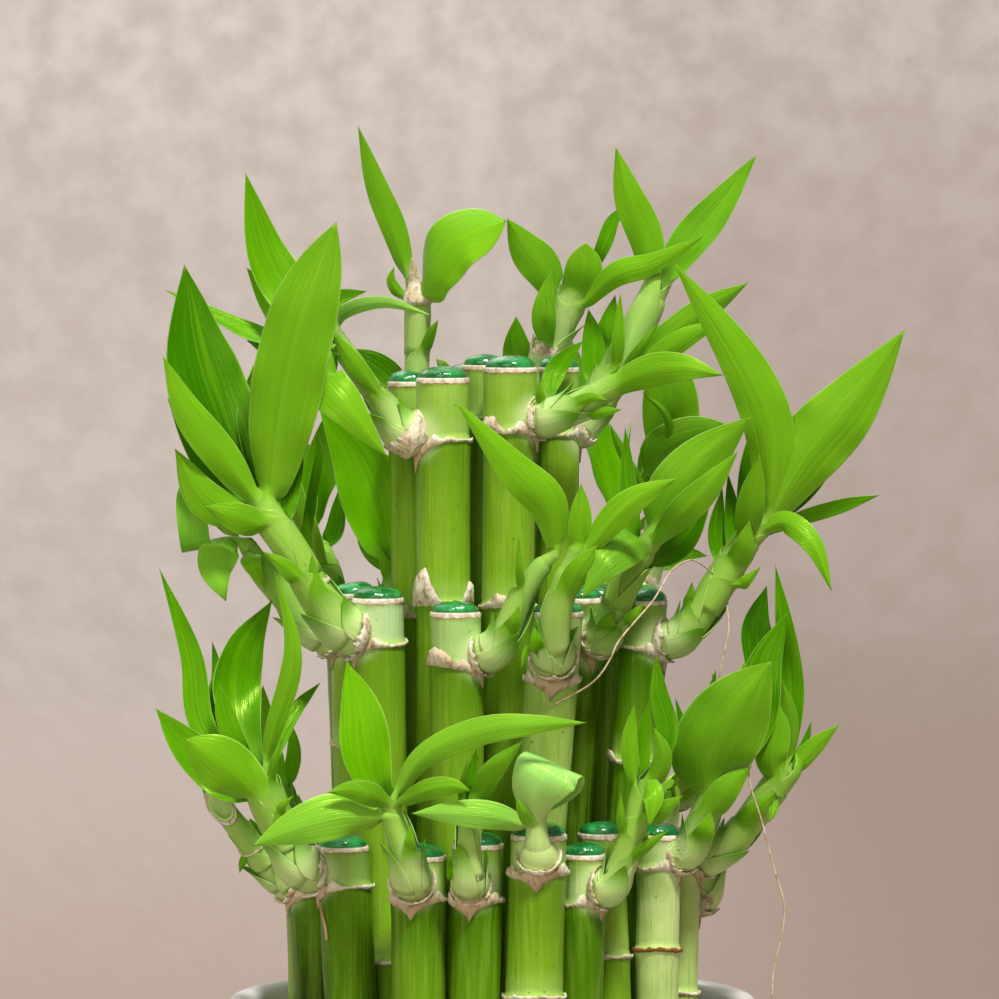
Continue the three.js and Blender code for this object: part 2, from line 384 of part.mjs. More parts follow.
// A smooth line through points: its place and direction at a share of the way
function along(points, share) {
  const last = points.length - 1;
  const place = Math.min(Math.max(share, 0), 1) * last;
  const i = Math.min(Math.floor(place), last - 1);
  const t = place - i;
  const [b, c] = [points[i], points[i + 1]];
  const a = i > 0 ? points[i - 1] : b.clone().multiplyScalar(2).sub(c);
  const d = i + 2 <= last ? points[i + 2] : c.clone().multiplyScalar(2).sub(b);
  const blend = (f) => f(a, b, c, d);
  const at = new THREE.Vector3();
  const towards = new THREE.Vector3();
  for (const k of ['x', 'y', 'z']) {
    at[k] = blend((p, q, r, s) => 0.5 * (2 * q[k] + (r[k] - p[k]) * t
      + (2 * p[k] - 5 * q[k] + 4 * r[k] - s[k]) * t * t + (3 * q[k] - p[k] - 3 * r[k] + s[k]) * t ** 3));
    towards[k] = blend((p, q, r, s) => 0.5 * (r[k] - p[k]
      + 2 * (2 * p[k] - 5 * q[k] + 4 * r[k] - s[k]) * t + 3 * (3 * q[k] - p[k] - 3 * r[k] + s[k]) * t * t));
  }
  return { at, towards: towards.normalize() };
}

// A cane: a lathed stick with a proud ring at each node and a drop of wax on its cut end
function cane([topX, topDepth, cut, rimX, rimDepth, upper, lower, rings]) {
  const top = sight([topX, topDepth, cut]);
  const rim = sight([rimX, rimDepth, RIM_LEVEL]);
  const profile = [[0, CANE_FOOT], [lower, CANE_FOOT]];
  const heights = rings.map((z) => sight([topX, topDepth, z]).z);
  for (const z of [...heights].reverse()) {
    const radius = z === heights[0] ? upper : lower;
    profile.push([lower, z - RING_HALF], [lower + RING_PROUD, z], [radius, z + RING_HALF]);
  }
  const wax = upper * WAX_SHARE;
  profile.push([upper, top.z - CUT_EDGE], [wax, top.z], [wax * 0.9, top.z + WAX_HEIGHT * 0.7]);
  profile.push([0, top.z + WAX_HEIGHT]);
  const stick = new THREE.LatheGeometry(profile.map(([r, z]) => new THREE.Vector2(r, z)), CANE_SIDES);
  stick.rotateX(Math.PI / 2);
  const lean = new THREE.Vector2(top.x - rim.x, top.y - rim.y).divideScalar(top.z - rim.z);
  const position = stick.attributes.position;
  for (let i = 0; i < position.count; i += 1) {
    const rise = position.getZ(i) - rim.z;
    position.setX(i, position.getX(i) + rim.x + lean.x * rise);
    position.setY(i, position.getY(i) + rim.y + lean.y * rise);
  }
  return solidOf(stick);
}

// The upright axis that a far shoot is turned about, and where it goes
function foot(name) {
  const [topX, topDepth, cut] = CANES[name];
  return sight([topX, topDepth, cut]);
}

// Every shoot as points in space, with the leaves' facing direction
function shootRows() {
  const rows = SHOOTS.map(([name, stem, leaves]) => ({
    name,
    facing: new THREE.Vector3(0, -1, 0),
    stem: stem.map(([x, depth, z, radius]) => ({ at: sight([x, depth, z]), radius })),
    leaves: leaves.map(([width, roll, ...points]) => ({ width, roll, points: points.map(sight) })),
  }));
  for (const [name, source, turn, reach, rise] of FAR_SHOOTS) {
    const front = rows.find((row) => row.name === source);
    const [from, to] = [foot(source), foot(name)];
    const up = new THREE.Vector3(0, 0, 1);
    const angle = THREE.MathUtils.degToRad(turn);
    const move = (point) => point.clone().sub(from)
      .multiply(new THREE.Vector3(reach, reach, point.z > from.z ? rise : 1))
      .applyAxisAngle(up, angle).add(to);
    rows.push({
      name,
      facing: front.facing.clone().applyAxisAngle(up, angle),
      stem: front.stem.map(({ at, radius }) => ({ at: move(at), radius: radius * 0.95 })),
      leaves: front.leaves
        .filter(({ points }) => points[0].distanceTo(points[points.length - 1]) > SHORTEST_FAR_LEAF)
        .map(({ width, roll, points }) => (
          { width: width * 0.95, roll: roll + 15, points: points.map(move) })),
    });
  }
  return rows;
}

// The stem of a shoot: a round tube that narrows along a smooth line, rooted in its cane
function stemSolid(stem) {
  const line = stem.map(({ at }) => at);
  const rings = stem.map(({ radius }, i) => {
    const { at, towards } = along(line, i / (stem.length - 1));
    const across = new THREE.Vector3(0, 0, 1).cross(towards).normalize();
    if (across.lengthSq() < 0.5) across.set(1, 0, 0);
    const upward = towards.clone().cross(across);
    return Array.from({ length: SHOOT_SIDES }, (_, s) => {
      const angle = (2 * Math.PI * s) / SHOOT_SIDES;
      return at.clone().addScaledVector(across, radius * Math.cos(angle))
        .addScaledVector(upward, radius * Math.sin(angle));
    });
  });
  return loft(rings);
}

// The share of its full width that a leaf has, from its sheath to its drawn-out tip
function leafBreadth(share) {
  const widest = 0.42;
  if (share < widest) return 0.25 + 0.75 * Math.sin((Math.PI / 2) * (share / widest));
  return (1 - ((share - widest) / (1 - widest)) ** 2) ** 1.1;
}

// A leaf: a thin blade of diamond section that follows its midrib, a little channelled
function leafSolid(points, width, roll, facing, thickness, extra) {
  const length = points.reduce((sum, p, i) => sum + (i ? p.distanceTo(points[i - 1]) : 0), 0);
  let shares = [0, 0.22, 0.5, 0.8];
  if (length < 36) shares = [0, 0.38, 0.76];
  if (length < 18) shares = [0, 0.5];
  const tilt = THREE.MathUtils.degToRad(roll);
  const half = width / 2 / Math.cos(tilt);
  const rings = shares.map((share) => {
    const { at, towards } = along(points, share);
    const face = facing.clone().addScaledVector(towards, -facing.dot(towards)).normalize();
    const side = face.clone().cross(towards);
    const normal = face.clone().applyAxisAngle(towards, tilt);
    side.applyAxisAngle(towards, tilt);
    const reach = half * leafBreadth(share) + extra;
    const lift = LEAF_CUP * half * leafBreadth(share);
    const edge = (sign) => at.clone().addScaledVector(side, sign * reach).addScaledVector(normal, lift);
    const rib = (sign) => at.clone().addScaledVector(normal, (sign * thickness) / 2);
    return [edge(-1), rib(-1), edge(1), rib(1)];
  });
  const tip = points[points.length - 1].clone();
  const before = along(points, 0.95).at;
  return loft(rings, tip.add(tip.clone().sub(before).setLength(extra + 1e-3)));
}

// A leaf's points after its tip is bent by some millimetres along its facing direction
function bent(points, facing, amount) {
  const last = points.length - 1;
  return points.map((p, i) => p.clone().addScaledVector(facing, -amount * (i / last)));
}

function overlapping(a, b) {
  for (let k = 0; k < 3; k += 1) {
    if (a.min[k] > b.max[k] || b.min[k] > a.max[k]) return false;
  }
  return true;
}

// All canes with their shoots: the stems are fixed, and each leaf takes the first bend that
// keeps it clear of every cane, stem and earlier leaf of the other nodes.
function leafyCanes() {
  const placed = [];
  const bodies = {};
  const place = (name, solid) => {
    placed.push({ name, solid, box: solid.boundingBox() });
    bodies[name].push(solid);
  };
  const rows = shootRows();
  for (const [name, row] of Object.entries(CANES)) {
    bodies[name] = [];
    place(name, cane(row));
  }
  for (const row of rows) place(row.name, stemSolid(row.stem));
  for (const row of rows) {
    for (const leaf of row.leaves) {
      const clear = BENDS.find((amount) => {
        const fat = leafSolid(bent(leaf.points, row.facing, amount), leaf.width, leaf.roll, row.facing,
          LEAF_THICKNESS + 2 * CLEARANCE, CLEARANCE * 1.5);
        const box = fat.boundingBox();
        return !placed.some((other) => other.name !== row.name && overlapping(box, other.box)
          && !fat.intersect(other.solid).isEmpty());
      });
      if (clear !== undefined) {
        place(row.name, leafSolid(bent(leaf.points, row.facing, clear), leaf.width, leaf.roll, row.facing,
          LEAF_THICKNESS, 0));
      }
    }
  }
  return Object.entries(bodies).map(([name, solids]) => (
    [name, mainBody(wasm.Manifold.union(solids).simplify(0.02))]));
}

// The pot: a turned wall with a rounded lip, a tapered side and a flat foot
function pot() {
  const inner = POT_RADIUS - POT_WALL;
  const profile = [[0, 0], [POT_FOOT_RADIUS, 0], [POT_FOOT_RADIUS + POT_LIP, POT_LIP],
    [POT_WAIST.outer, POT_WAIST.z], [POT_SHOULDER.outer, POT_SHOULDER.z],
    [POT_RADIUS, POT_HEIGHT - POT_LIP], [POT_RADIUS - POT_LIP, POT_HEIGHT],
    [inner + POT_LIP, POT_HEIGHT], [inner, POT_HEIGHT - POT_LIP],
    [POT_SHOULDER.inner, POT_SHOULDER.z], [POT_WAIST.inner - POT_WALL, POT_WAIST.z],
    [POT_FOOT_RADIUS - POT_WALL, POT_FLOOR], [0, POT_FLOOR]];
  const wall = new THREE.LatheGeometry(profile.map(([r, z]) => new THREE.Vector2(r, z)), POT_SIDES);
  wall.rotateX(Math.PI / 2);
  return solidOf(wall);
}

// The filling: one bed of pebbles with a plain hole for each cane
function pebbles(canes) {
  const inner = POT_SHOULDER.inner - BED_GAP;
  const profile = [[0, POT_FLOOR + BED_GAP], [POT_FOOT_RADIUS - POT_WALL - BED_GAP, POT_FLOOR + BED_GAP],
    [POT_WAIST.inner - POT_WALL - BED_GAP, POT_WAIST.z], [inner, POT_SHOULDER.z], [inner, BED_TOP],
    [0, BED_TOP]];
  const bed = new THREE.LatheGeometry(profile.map(([r, z]) => new THREE.Vector2(r, z)), POT_SIDES);
  bed.rotateX(Math.PI / 2);
  const stones = [];
  for (let i = 0; i < PEBBLE_COUNT; i += 1) {
    const angle = (2 * Math.PI * i) / PEBBLE_COUNT;
    const stone = new THREE.IcosahedronGeometry(PEBBLE_RADIUS, 0);
    stone.rotateZ(i * GOLDEN_TURN).scale(1, 1, PEBBLE_FLATNESS).rotateZ(angle);
    const ring = inner - PEBBLE_RADIUS;
    stone.translate(ring * Math.cos(angle), ring * Math.sin(angle), BED_TOP + (i % 3) * PEBBLE_STEP);
    stones.push(solidOf(stone));
  }
  const full = wasm.Manifold.union([solidOf(bed), ...stones]);
  const holes = canes.map(([topX, topDepth, cut, rimX, rimDepth, , lower]) => {
    const [top, rim] = [sight([topX, topDepth, cut]), sight([rimX, rimDepth, RIM_LEVEL])];
    const lean = top.clone().sub(rim).divideScalar(top.z - rim.z);
    const ends = [CANE_FOOT - CLEARANCE, POT_HEIGHT].map((z) => rim.clone().addScaledVector(lean, z - rim.z));
    const radius = lower + CLEARANCE;
    const ring = (at) => Array.from({ length: CANE_SIDES }, (_, s) => {
      const angle = (2 * Math.PI * s) / CANE_SIDES;
      return new THREE.Vector3(at.x + radius * Math.sin(angle), at.y - radius * Math.cos(angle), at.z);
    });
    return loft(ends.map(ring));
  });
  return mainBody(full.subtract(wasm.Manifold.union(holes)).simplify(0.02));
}

const bamboo = new THREE.Group();
function add(name, solid, look) {
  const mesh = new THREE.Mesh(geometryOf(solid), new THREE.MeshStandardMaterial(look));
  mesh.name = name;
  bamboo.add(mesh);
}
add('pot', pot(), CERAMIC);
add('pebbles', pebbles(Object.values(CANES)), STONE);
for (const [name, solid] of leafyCanes()) add(name, solid, LIVING_GREEN);

export default bamboo;
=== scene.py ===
# %% [markdown]
# # Lucky bamboo in a round pot
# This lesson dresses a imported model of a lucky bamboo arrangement: cut canes of three lengths,
# most with a leafy shoot, standing in a white pot of pebbles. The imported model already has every
# piece in its place, in the same frame, with +Z up and the front towards -Y. It could be given
# better materials as it is, but its leaves are cut from a few flat facets. So each piece is
# built again with a fine mesh, from the same few numbers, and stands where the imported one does.

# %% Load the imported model
import math
import random

import bpy
from mathutils import Matrix, Quaternion, Vector, noise
from mathutils.kdtree import KDTree


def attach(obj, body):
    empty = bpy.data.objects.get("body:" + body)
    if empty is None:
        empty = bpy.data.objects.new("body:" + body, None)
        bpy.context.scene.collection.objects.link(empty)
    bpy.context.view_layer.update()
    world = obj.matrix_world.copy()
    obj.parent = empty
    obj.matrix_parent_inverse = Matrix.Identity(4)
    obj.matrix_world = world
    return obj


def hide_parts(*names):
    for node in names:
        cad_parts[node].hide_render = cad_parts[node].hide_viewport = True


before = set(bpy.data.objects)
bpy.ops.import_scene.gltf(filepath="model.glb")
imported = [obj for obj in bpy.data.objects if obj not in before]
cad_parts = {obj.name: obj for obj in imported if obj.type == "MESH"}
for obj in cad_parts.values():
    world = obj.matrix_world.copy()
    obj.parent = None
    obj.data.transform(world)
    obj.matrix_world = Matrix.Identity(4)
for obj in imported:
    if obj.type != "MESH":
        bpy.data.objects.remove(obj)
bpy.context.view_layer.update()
print("packed pieces:", len(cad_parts))

# %% [markdown]
# ## The eye and the stage
# The photograph was taken from a little above the cane tops, with a long lens. The camera could
# be placed by trial, but the whole model is drawn from one eye point, so the camera simply stands
# there. Lengths in this lesson are in millimetres, as a maker would measure them, and turn into
# metres only when a mesh is made.

# %% Put the camera at the eye
MM = 0.001
EYE = Vector((1.6, -1199, 227.5))
LOOK_AT = Vector((1.6, 0, 181.4))
SEEN_WIDTH = 212.55
SENSOR_WIDTH = 36


def sight(x, depth, z):
    """The point that the eye sees at (x, z) in the upright plane through the pot, at its own depth."""
    return EYE.lerp(Vector((x, 0, z)), (depth - EYE.y) / -EYE.y)


camera = bpy.data.objects.new("camera", bpy.data.cameras.new("camera"))
camera.location = EYE * MM
camera.rotation_euler = (LOOK_AT - EYE).to_track_quat("-Z", "Y").to_euler()
camera.data.sensor_width = SENSOR_WIDTH
camera.data.lens = SENSOR_WIDTH * (LOOK_AT - EYE).length / SEEN_WIDTH
camera.data.clip_start = 0.05
bpy.context.scene.collection.objects.link(camera)
bpy.context.scene.camera = camera
print("lens in millimetres:", round(camera.data.lens, 1))

# %% [markdown]
# ## Paint in plain colours
# Colours are easiest to read as they look on a screen, while shaders want them linear. A small
# helper turns one into the other, so that every finish below can be written as a screen colour.


# %% Turn screen colours into shader colours
def paint(screen_colour):
    """A shader colour from a screen colour such as "#7ABF12"."""
    parts = [int(screen_colour[i:i + 2], 16) / 255 for i in (1, 3, 5)]
    return (*[((p + 0.055) / 1.055) ** 2.4 if p > 0.04 else p / 12.92 for p in parts], 1)


print("leaf green in linear light:", [round(c, 3) for c in paint("#7ABF12")[:3]])

# %% [markdown]
# ## Building a finish
# A finish is a small tree of shader nodes. Writing each node out by hand hides the idea behind
# plumbing, so a short helper makes the few kinds that plants and glaze need: a mark that was
# stored on the mesh, a noise, a mix of two colours, a curve between two values, and a bump.


# %% A helper for building finishes
class Finish:
    """One material whose colour and bump come from nodes."""

    def __init__(self, name, roughness, **sockets):
        self.material = bpy.data.materials.new(name)
        self.material.use_nodes = True
        self.nodes = self.material.node_tree.nodes
        self.links = self.material.node_tree.links
        self.shader = self.nodes["Principled BSDF"]
        self.shader.inputs["Roughness"].default_value = roughness
        for socket, value in sockets.items():
            self.shader.inputs[socket.replace("_", " ")].default_value = value

    def feed(self, socket, value):
        """Links a node's result to a socket, or writes a plain value there."""
        if isinstance(value, bpy.types.NodeSocket):
            self.links.new(value, socket)
        else:
            socket.default_value = value

    def mark(self, name):
        """A number that the mesh carries at each of its points."""
        node = self.nodes.new("ShaderNodeAttribute")
        node.attribute_name = name
        return node.outputs["Fac"]

    def sum(self, kind, a, b):
        """One step of arithmetic, such as MULTIPLY or SUBTRACT."""
        node = self.nodes.new("ShaderNodeMath")
        node.operation = kind
        self.feed(node.inputs[0], a)
        self.feed(node.inputs[1], b)
        return node.outputs[0]

    def noise(self, scale, stretch=(1, 1, 1), detail=3, place=None):
        """Cloudy noise; stretch gives its frequency along each axis."""
        node = self.nodes.new("ShaderNodeTexNoise")
        node.inputs["Scale"].default_value = scale
        node.inputs["Detail"].default_value = detail
        scaled = self.nodes.new("ShaderNodeVectorMath")
        scaled.operation = "MULTIPLY"
        coordinates = self.nodes.new("ShaderNodeTexCoord")
        self.feed(scaled.inputs[0], place or coordinates.outputs["Object"])
        scaled.inputs[1].default_value = stretch
        self.feed(node.inputs["Vector"], scaled.outputs[0])
        return node.outputs["Fac"]

    def place(self, x, y, z):
        """A point made of three marks, to lay a noise along a leaf or a cane."""
        node = self.nodes.new("ShaderNodeCombineXYZ")
        for socket, value in zip(node.inputs, (x, y, z)):
            self.feed(socket, value)
        return node.outputs[0]

    def axis(self, letter):
        """Where a spot is along X, Y or Z, in metres."""
        node = self.nodes.new("ShaderNodeSeparateXYZ")
        self.links.new(self.nodes.new("ShaderNodeTexCoord").outputs["Object"], node.inputs[0])
        return node.outputs[letter]

    def between(self, value, low, high, out_low=0, out_high=1):
        """A smooth step: out_low where value is low, out_high where it is high."""
        node = self.nodes.new("ShaderNodeMapRange")
        node.interpolation_type = "SMOOTHSTEP"
        for socket, number in zip(node.inputs, (value, low, high, out_low, out_high)):
            self.feed(socket, number)
        return node.outputs[0]

    def mix(self, share, a, b):
        """Colour a, turning to colour b as share goes from 0 to 1."""
        node = self.nodes.new("ShaderNodeMix")
        node.data_type = "RGBA"
        self.feed(node.inputs[0], share)
        self.feed(node.inputs[6], paint(a) if isinstance(a, str) else a)
        self.feed(node.inputs[7], paint(b) if isinstance(b, str) else b)
        return node.outputs[2]

    def colour(self, value):
        """Gives the surface its colour."""
        self.feed(self.shader.inputs["Base Color"], value)

    def bump(self, height, distance):
        """Raises the surface by height times distance, in metres."""
        node = self.nodes.new("ShaderNodeBump")
        node.inputs["Distance"].default_value = distance
        self.feed(node.inputs["Height"], height)
        self.feed(self.shader.inputs["Normal"], node.outputs[0])


# %% [markdown]
# ## A floor that curves up all round
# A tabletop and a wall would meet in a hard line behind the plant. A photographer hangs a sweep
# of paper instead, which curves from floor to wall. Here it is a shallow bowl, so that paper
# stands behind the plant from every side.

# %% Make the sweep
SWEEP = [(0, 0), (2.6, 0), (3.0, 0.06), (3.35, 0.25), (3.6, 0.6), (3.7, 1.1), (3.7, 2.6)]
SWEEP_SIDES = 96
corners, quads = [], []
for radius, height in SWEEP:
    for side in range(SWEEP_SIDES):
        turn = 2 * math.pi * side / SWEEP_SIDES
        corners.append((radius * math.cos(turn), radius * math.sin(turn), height))
for ring in range(len(SWEEP) - 1):
    for side in range(SWEEP_SIDES):
        a, b = ring * SWEEP_SIDES + side, ring * SWEEP_SIDES + (side + 1) % SWEEP_SIDES
        quads.append((a, b, b + SWEEP_SIDES, a + SWEEP_SIDES))
sweep_mesh = bpy.data.meshes.new("sweep")
sweep_mesh.from_pydata(corners, [], quads)
sweep_mesh.shade_smooth()
sweep = bpy.data.objects.new("sweep", sweep_mesh)
bpy.context.scene.collection.objects.link(sweep)
print("faces of the sweep:", len(quads))

# %% [markdown]
# ## The paper's mottled grey
# The paper is warm grey and mottled like worn suede, paler higher up, and in shade behind the
# plant and to its right. A noise laid by place would look squashed on a floor that is seen at a
# low angle. So it is laid by direction and by the logarithm of the distance, which keeps the
# patches about as tall as they are wide. Three soft fades, one along each axis, bound the shade.

# %% Paint the sweep
PATCH_RISE = 0.28
PATCH_REACH = 0.08
SHADE_FADES = (("Z", 0.1, 0.45, 1, 0.5), ("X", -0.04, 0.18, 0, 1), ("Y", 0, 0.6, 0, 1))
paper_sweep = Finish("paper_sweep", 0.9)
across, back, height = (paper_sweep.axis(letter) for letter in "XYZ")
squares = [paper_sweep.sum("MULTIPLY", value, value) for value in (across, back)]
reach = paper_sweep.sum("SQRT", paper_sweep.sum("ADD", *squares), 0)
ahead = [paper_sweep.sum("DIVIDE", value, reach) for value in (across, back)]
far = paper_sweep.sum("MULTIPLY", paper_sweep.sum("LOGARITHM", reach, math.e), PATCH_REACH)
rise = paper_sweep.sum("ADD", paper_sweep.sum("MULTIPLY", height, PATCH_RISE), far)
spot = paper_sweep.place(*ahead, rise)
clouds = paper_sweep.between(paper_sweep.noise(110, detail=6, place=spot), 0.28, 0.72)
tone = paper_sweep.mix(paper_sweep.between(reach, 0.3, 2.6), "#917F74", "#AEA39C")
tone = paper_sweep.mix(paper_sweep.between(height, 0.2, 0.5, 0, 0.8), tone, "#C4BCB6")
patches = paper_sweep.sum("MULTIPLY", clouds, paper_sweep.between(reach, 0.5, 1.3, 0.1, 0.6))
tone = paper_sweep.mix(patches, tone, "#9E9187")
shaded = paper_sweep.between(reach, 1, 3.3, 0.88, 0.45)
for letter, low, high, least, most in SHADE_FADES:
    fade = paper_sweep.between(paper_sweep.axis(letter), low, high, least, most)
    shaded = paper_sweep.sum("MULTIPLY", shaded, fade)
paper_sweep.colour(paper_sweep.mix(shaded, tone, "#7E6B60"))
sweep_mesh.materials.append(paper_sweep.material)
print("finish:", paper_sweep.material.name)

# %% [markdown]
# ## Window light
# The photograph has the broad, bright light of a window: soft shadows that still have a side. One
# wide sun gives that side. Two soft boxes fill the front and lift the leaf edges from above and
# behind, and a faint white air keeps the shadows from going black.


# %% Set the lights
def soft_light(name, place, size, watts):
    """A square soft box that points at the middle of the plant."""
    lamp = bpy.data.lights.new(name, "AREA")
    lamp.size = size
    lamp.energy = watts
    box = bpy.data.objects.new(name, lamp)
    box.location = place
    box.rotation_euler = (Vector((0, 0, 0.15)) - box.location).to_track_quat("-Z", "Y").to_euler()
    bpy.context.scene.collection.objects.link(box)


sun = bpy.data.lights.new("window_sun", "SUN")
sun.energy = 3.7
sun.angle = math.radians(9)
window = bpy.data.objects.new("window_sun", sun)
window.rotation_euler = Vector((-0.28, 0.62, -1.15)).to_track_quat("-Z", "Y").to_euler()
bpy.context.scene.collection.objects.link(window)
soft_light("front_box", (-0.6, -1.9, 0.7), 1.2, 15)
soft_light("top_box", (-0.5, 0.9, 1.5), 1.5, 13)
world = bpy.data.worlds.new("studio_air")
world.use_nodes = True
world.node_tree.nodes["Background"].inputs["Color"].default_value = paint("#F4F1EE")
world.node_tree.nodes["Background"].inputs["Strength"].default_value = 0.22
bpy.context.scene.world = world
bpy.context.scene.view_settings.view_transform = "Standard"
print("lights:", len(bpy.data.lights))

# %% [markdown]
# ## Where everything grows
# These rows are what the eye sees. A cane is given at its top and at the pot's rim. A shoot is
# the stem's points and then each leaf: its width, its roll, and points from base to tip. Each
# point is how far right, how deep and how high, in millimetres. Photographs could be traced with
# splines in a window, but short rows of plain numbers are easier to read and to correct.

# %% Canes: x, depth and height of the cut, x and depth at the rim, two radii, ring heights, tone with painted light and shade
CANES = {
    "low_cane_1": [-38.6, -9.8, 104, -37, -9.8, 5.2, 5.3, [97.5], 1.7],
    "low_cane_2": [-31.8, -26, 107.5, -30.2, -25, 5.4, 5.5, [99], 1.3],
    "low_cane_3": [-15.4, -36, 105.5, -15.7, -35.5, 5.5, 5.7, [96.3], 0.7],
    "low_cane_4": [-3, -38, 108, -3.6, -37.5, 5.2, 5.2, [96], 0.85],
    "low_cane_5": [10, -39.8, 110, 9, -39.5, 5.8, 5.9, [102, 75.5], 0.5],
    "low_cane_6": [19.6, -31.5, 105.8, 18.6, -31, 4.5, 5.1, [95.3], 1.25],
    "low_cane_7": [23.2, -20.6, 110.3, 24.8, -20.6, 4.8, 4.8, [84], 0.35],
    "low_cane_8": [35.6, -17.8, 110, 35.2, -16.6, 4.5, 4.6, [103, 85.5], 0.05],
    "low_cane_9": [39.8, -4.6, 109, 38.8, -4.5, 4.9, 4.9, [103, 76.3], 0.1],
    "low_cane_10": [-39.2, 4.6, 108, -38.4, 4.5, 5.0, 5.1, [98], 0.3],
    "low_cane_11": [-35.6, 18, 109, -34.8, 17.4, 4.9, 5.0, [99, 84], 0.6],
    "low_cane_12": [-24.6, 22.4, 106, -24.2, 21.5, 4.9, 5.0, [95], 0.45],
    "low_cane_13": [-18.4, 33.4, 107, -17.6, 32.5, 5.2, 5.4, [97], 0.75],
    "low_cane_14": [-5.6, 37.4, 110, -5.2, 36.6, 5.6, 5.8, [100, 80], 0.2],
    "low_cane_15": [6.6, 38.6, 106, 6.4, 37.8, 5.2, 5.4, [96], 0.55],
    "low_cane_16": [18.6, 34.2, 109, 18, 33.2, 5.5, 5.6, [99], 0.35],
    "low_cane_17": [31.4, 25.8, 107, 30.4, 25.2, 5.4, 5.5, [98, 82], 0.65],
    "low_cane_18": [39.4, 10.2, 104, 38.4, 9.8, 5.0, 5.1, [95], 0.3],
    "middle_cane_1": [-29.6, -3.6, 161.5, -27.4, -2.6, 4.9, 5.0, [150, 129], 0.2],
    "middle_cane_2": [-24.3, -17, 160.5, -22.8, -15.5, 5.4, 5.5, [151, 83.3], 0.4],
    "middle_cane_3": [-7.8, -26.5, 157.5, -7, -25.5, 5.3, 5.6, [146.3], 0.5],
    "middle_cane_4": [14, -27, 157.5, 7.4, -24.4, 5.4, 5.5, [143], 0.14],
    "middle_cane_5": [18.7, -12, 160.5, 14.6, -9.6, 4.7, 4.8, [151], 1.5],
    "middle_cane_6": [32.6, -9, 160, 27.4, -8.4, 4.8, 5.3, [150, 126], 0.72],
    "middle_cane_7": [-30.6, 9.6, 161, -27.4, 8.8, 4.9, 5.1, [150], 0.6],
    "middle_cane_8": [-17.8, 12.8, 159, -15.8, 11.6, 4.8, 4.9, [149], 0.45],
    "middle_cane_9": [-11.6, 25.6, 160, -10.2, 23.6, 5.3, 5.5, [150, 120], 0.75],
    "middle_cane_10": [5.4, 26.8, 158, 4.2, 24.6, 5.3, 5.6, [148], 0.2],
    "middle_cane_11": [22, 19.4, 161, 19.4, 18.6, 5.3, 5.5, [151], 0.55],
    "middle_cane_12": [31.4, 5, 161, 28, 4, 5.0, 5.1, [150], 0.35],
    "top_cane_1": [-17.7, 0.4, 206.5, -15.2, 0.4, 4.5, 4.5, [195, 156.5], 0.5],
    "top_cane_2": [-10.4, -13, 207.3, -10.4, -12.4, 5.5, 5.7, [194, 159.3], 0.42],
    "top_cane_3": [-2, -0.4, 210, -3, -0.4, 4.3, 4.3, [199], 0.7],
    "top_cane_4": [3.9, -13.4, 209.5, 2.8, -11.6, 5.6, 5.5, [196, 158.8], 0.42],
    "top_cane_5": [14.2, -2, 209.5, 13, 0.6, 4.3, 4.6, [195], 0.25],
    "top_cane_6": [9.8, 12.4, 207, 8.4, 12, 5.0, 5.3, [195, 158], 0.2],
    "top_cane_7": [-4.6, 12.8, 208, -4, 12, 5.2, 5.4, [196, 160], 0.65],
}
print("canes:", len(CANES))

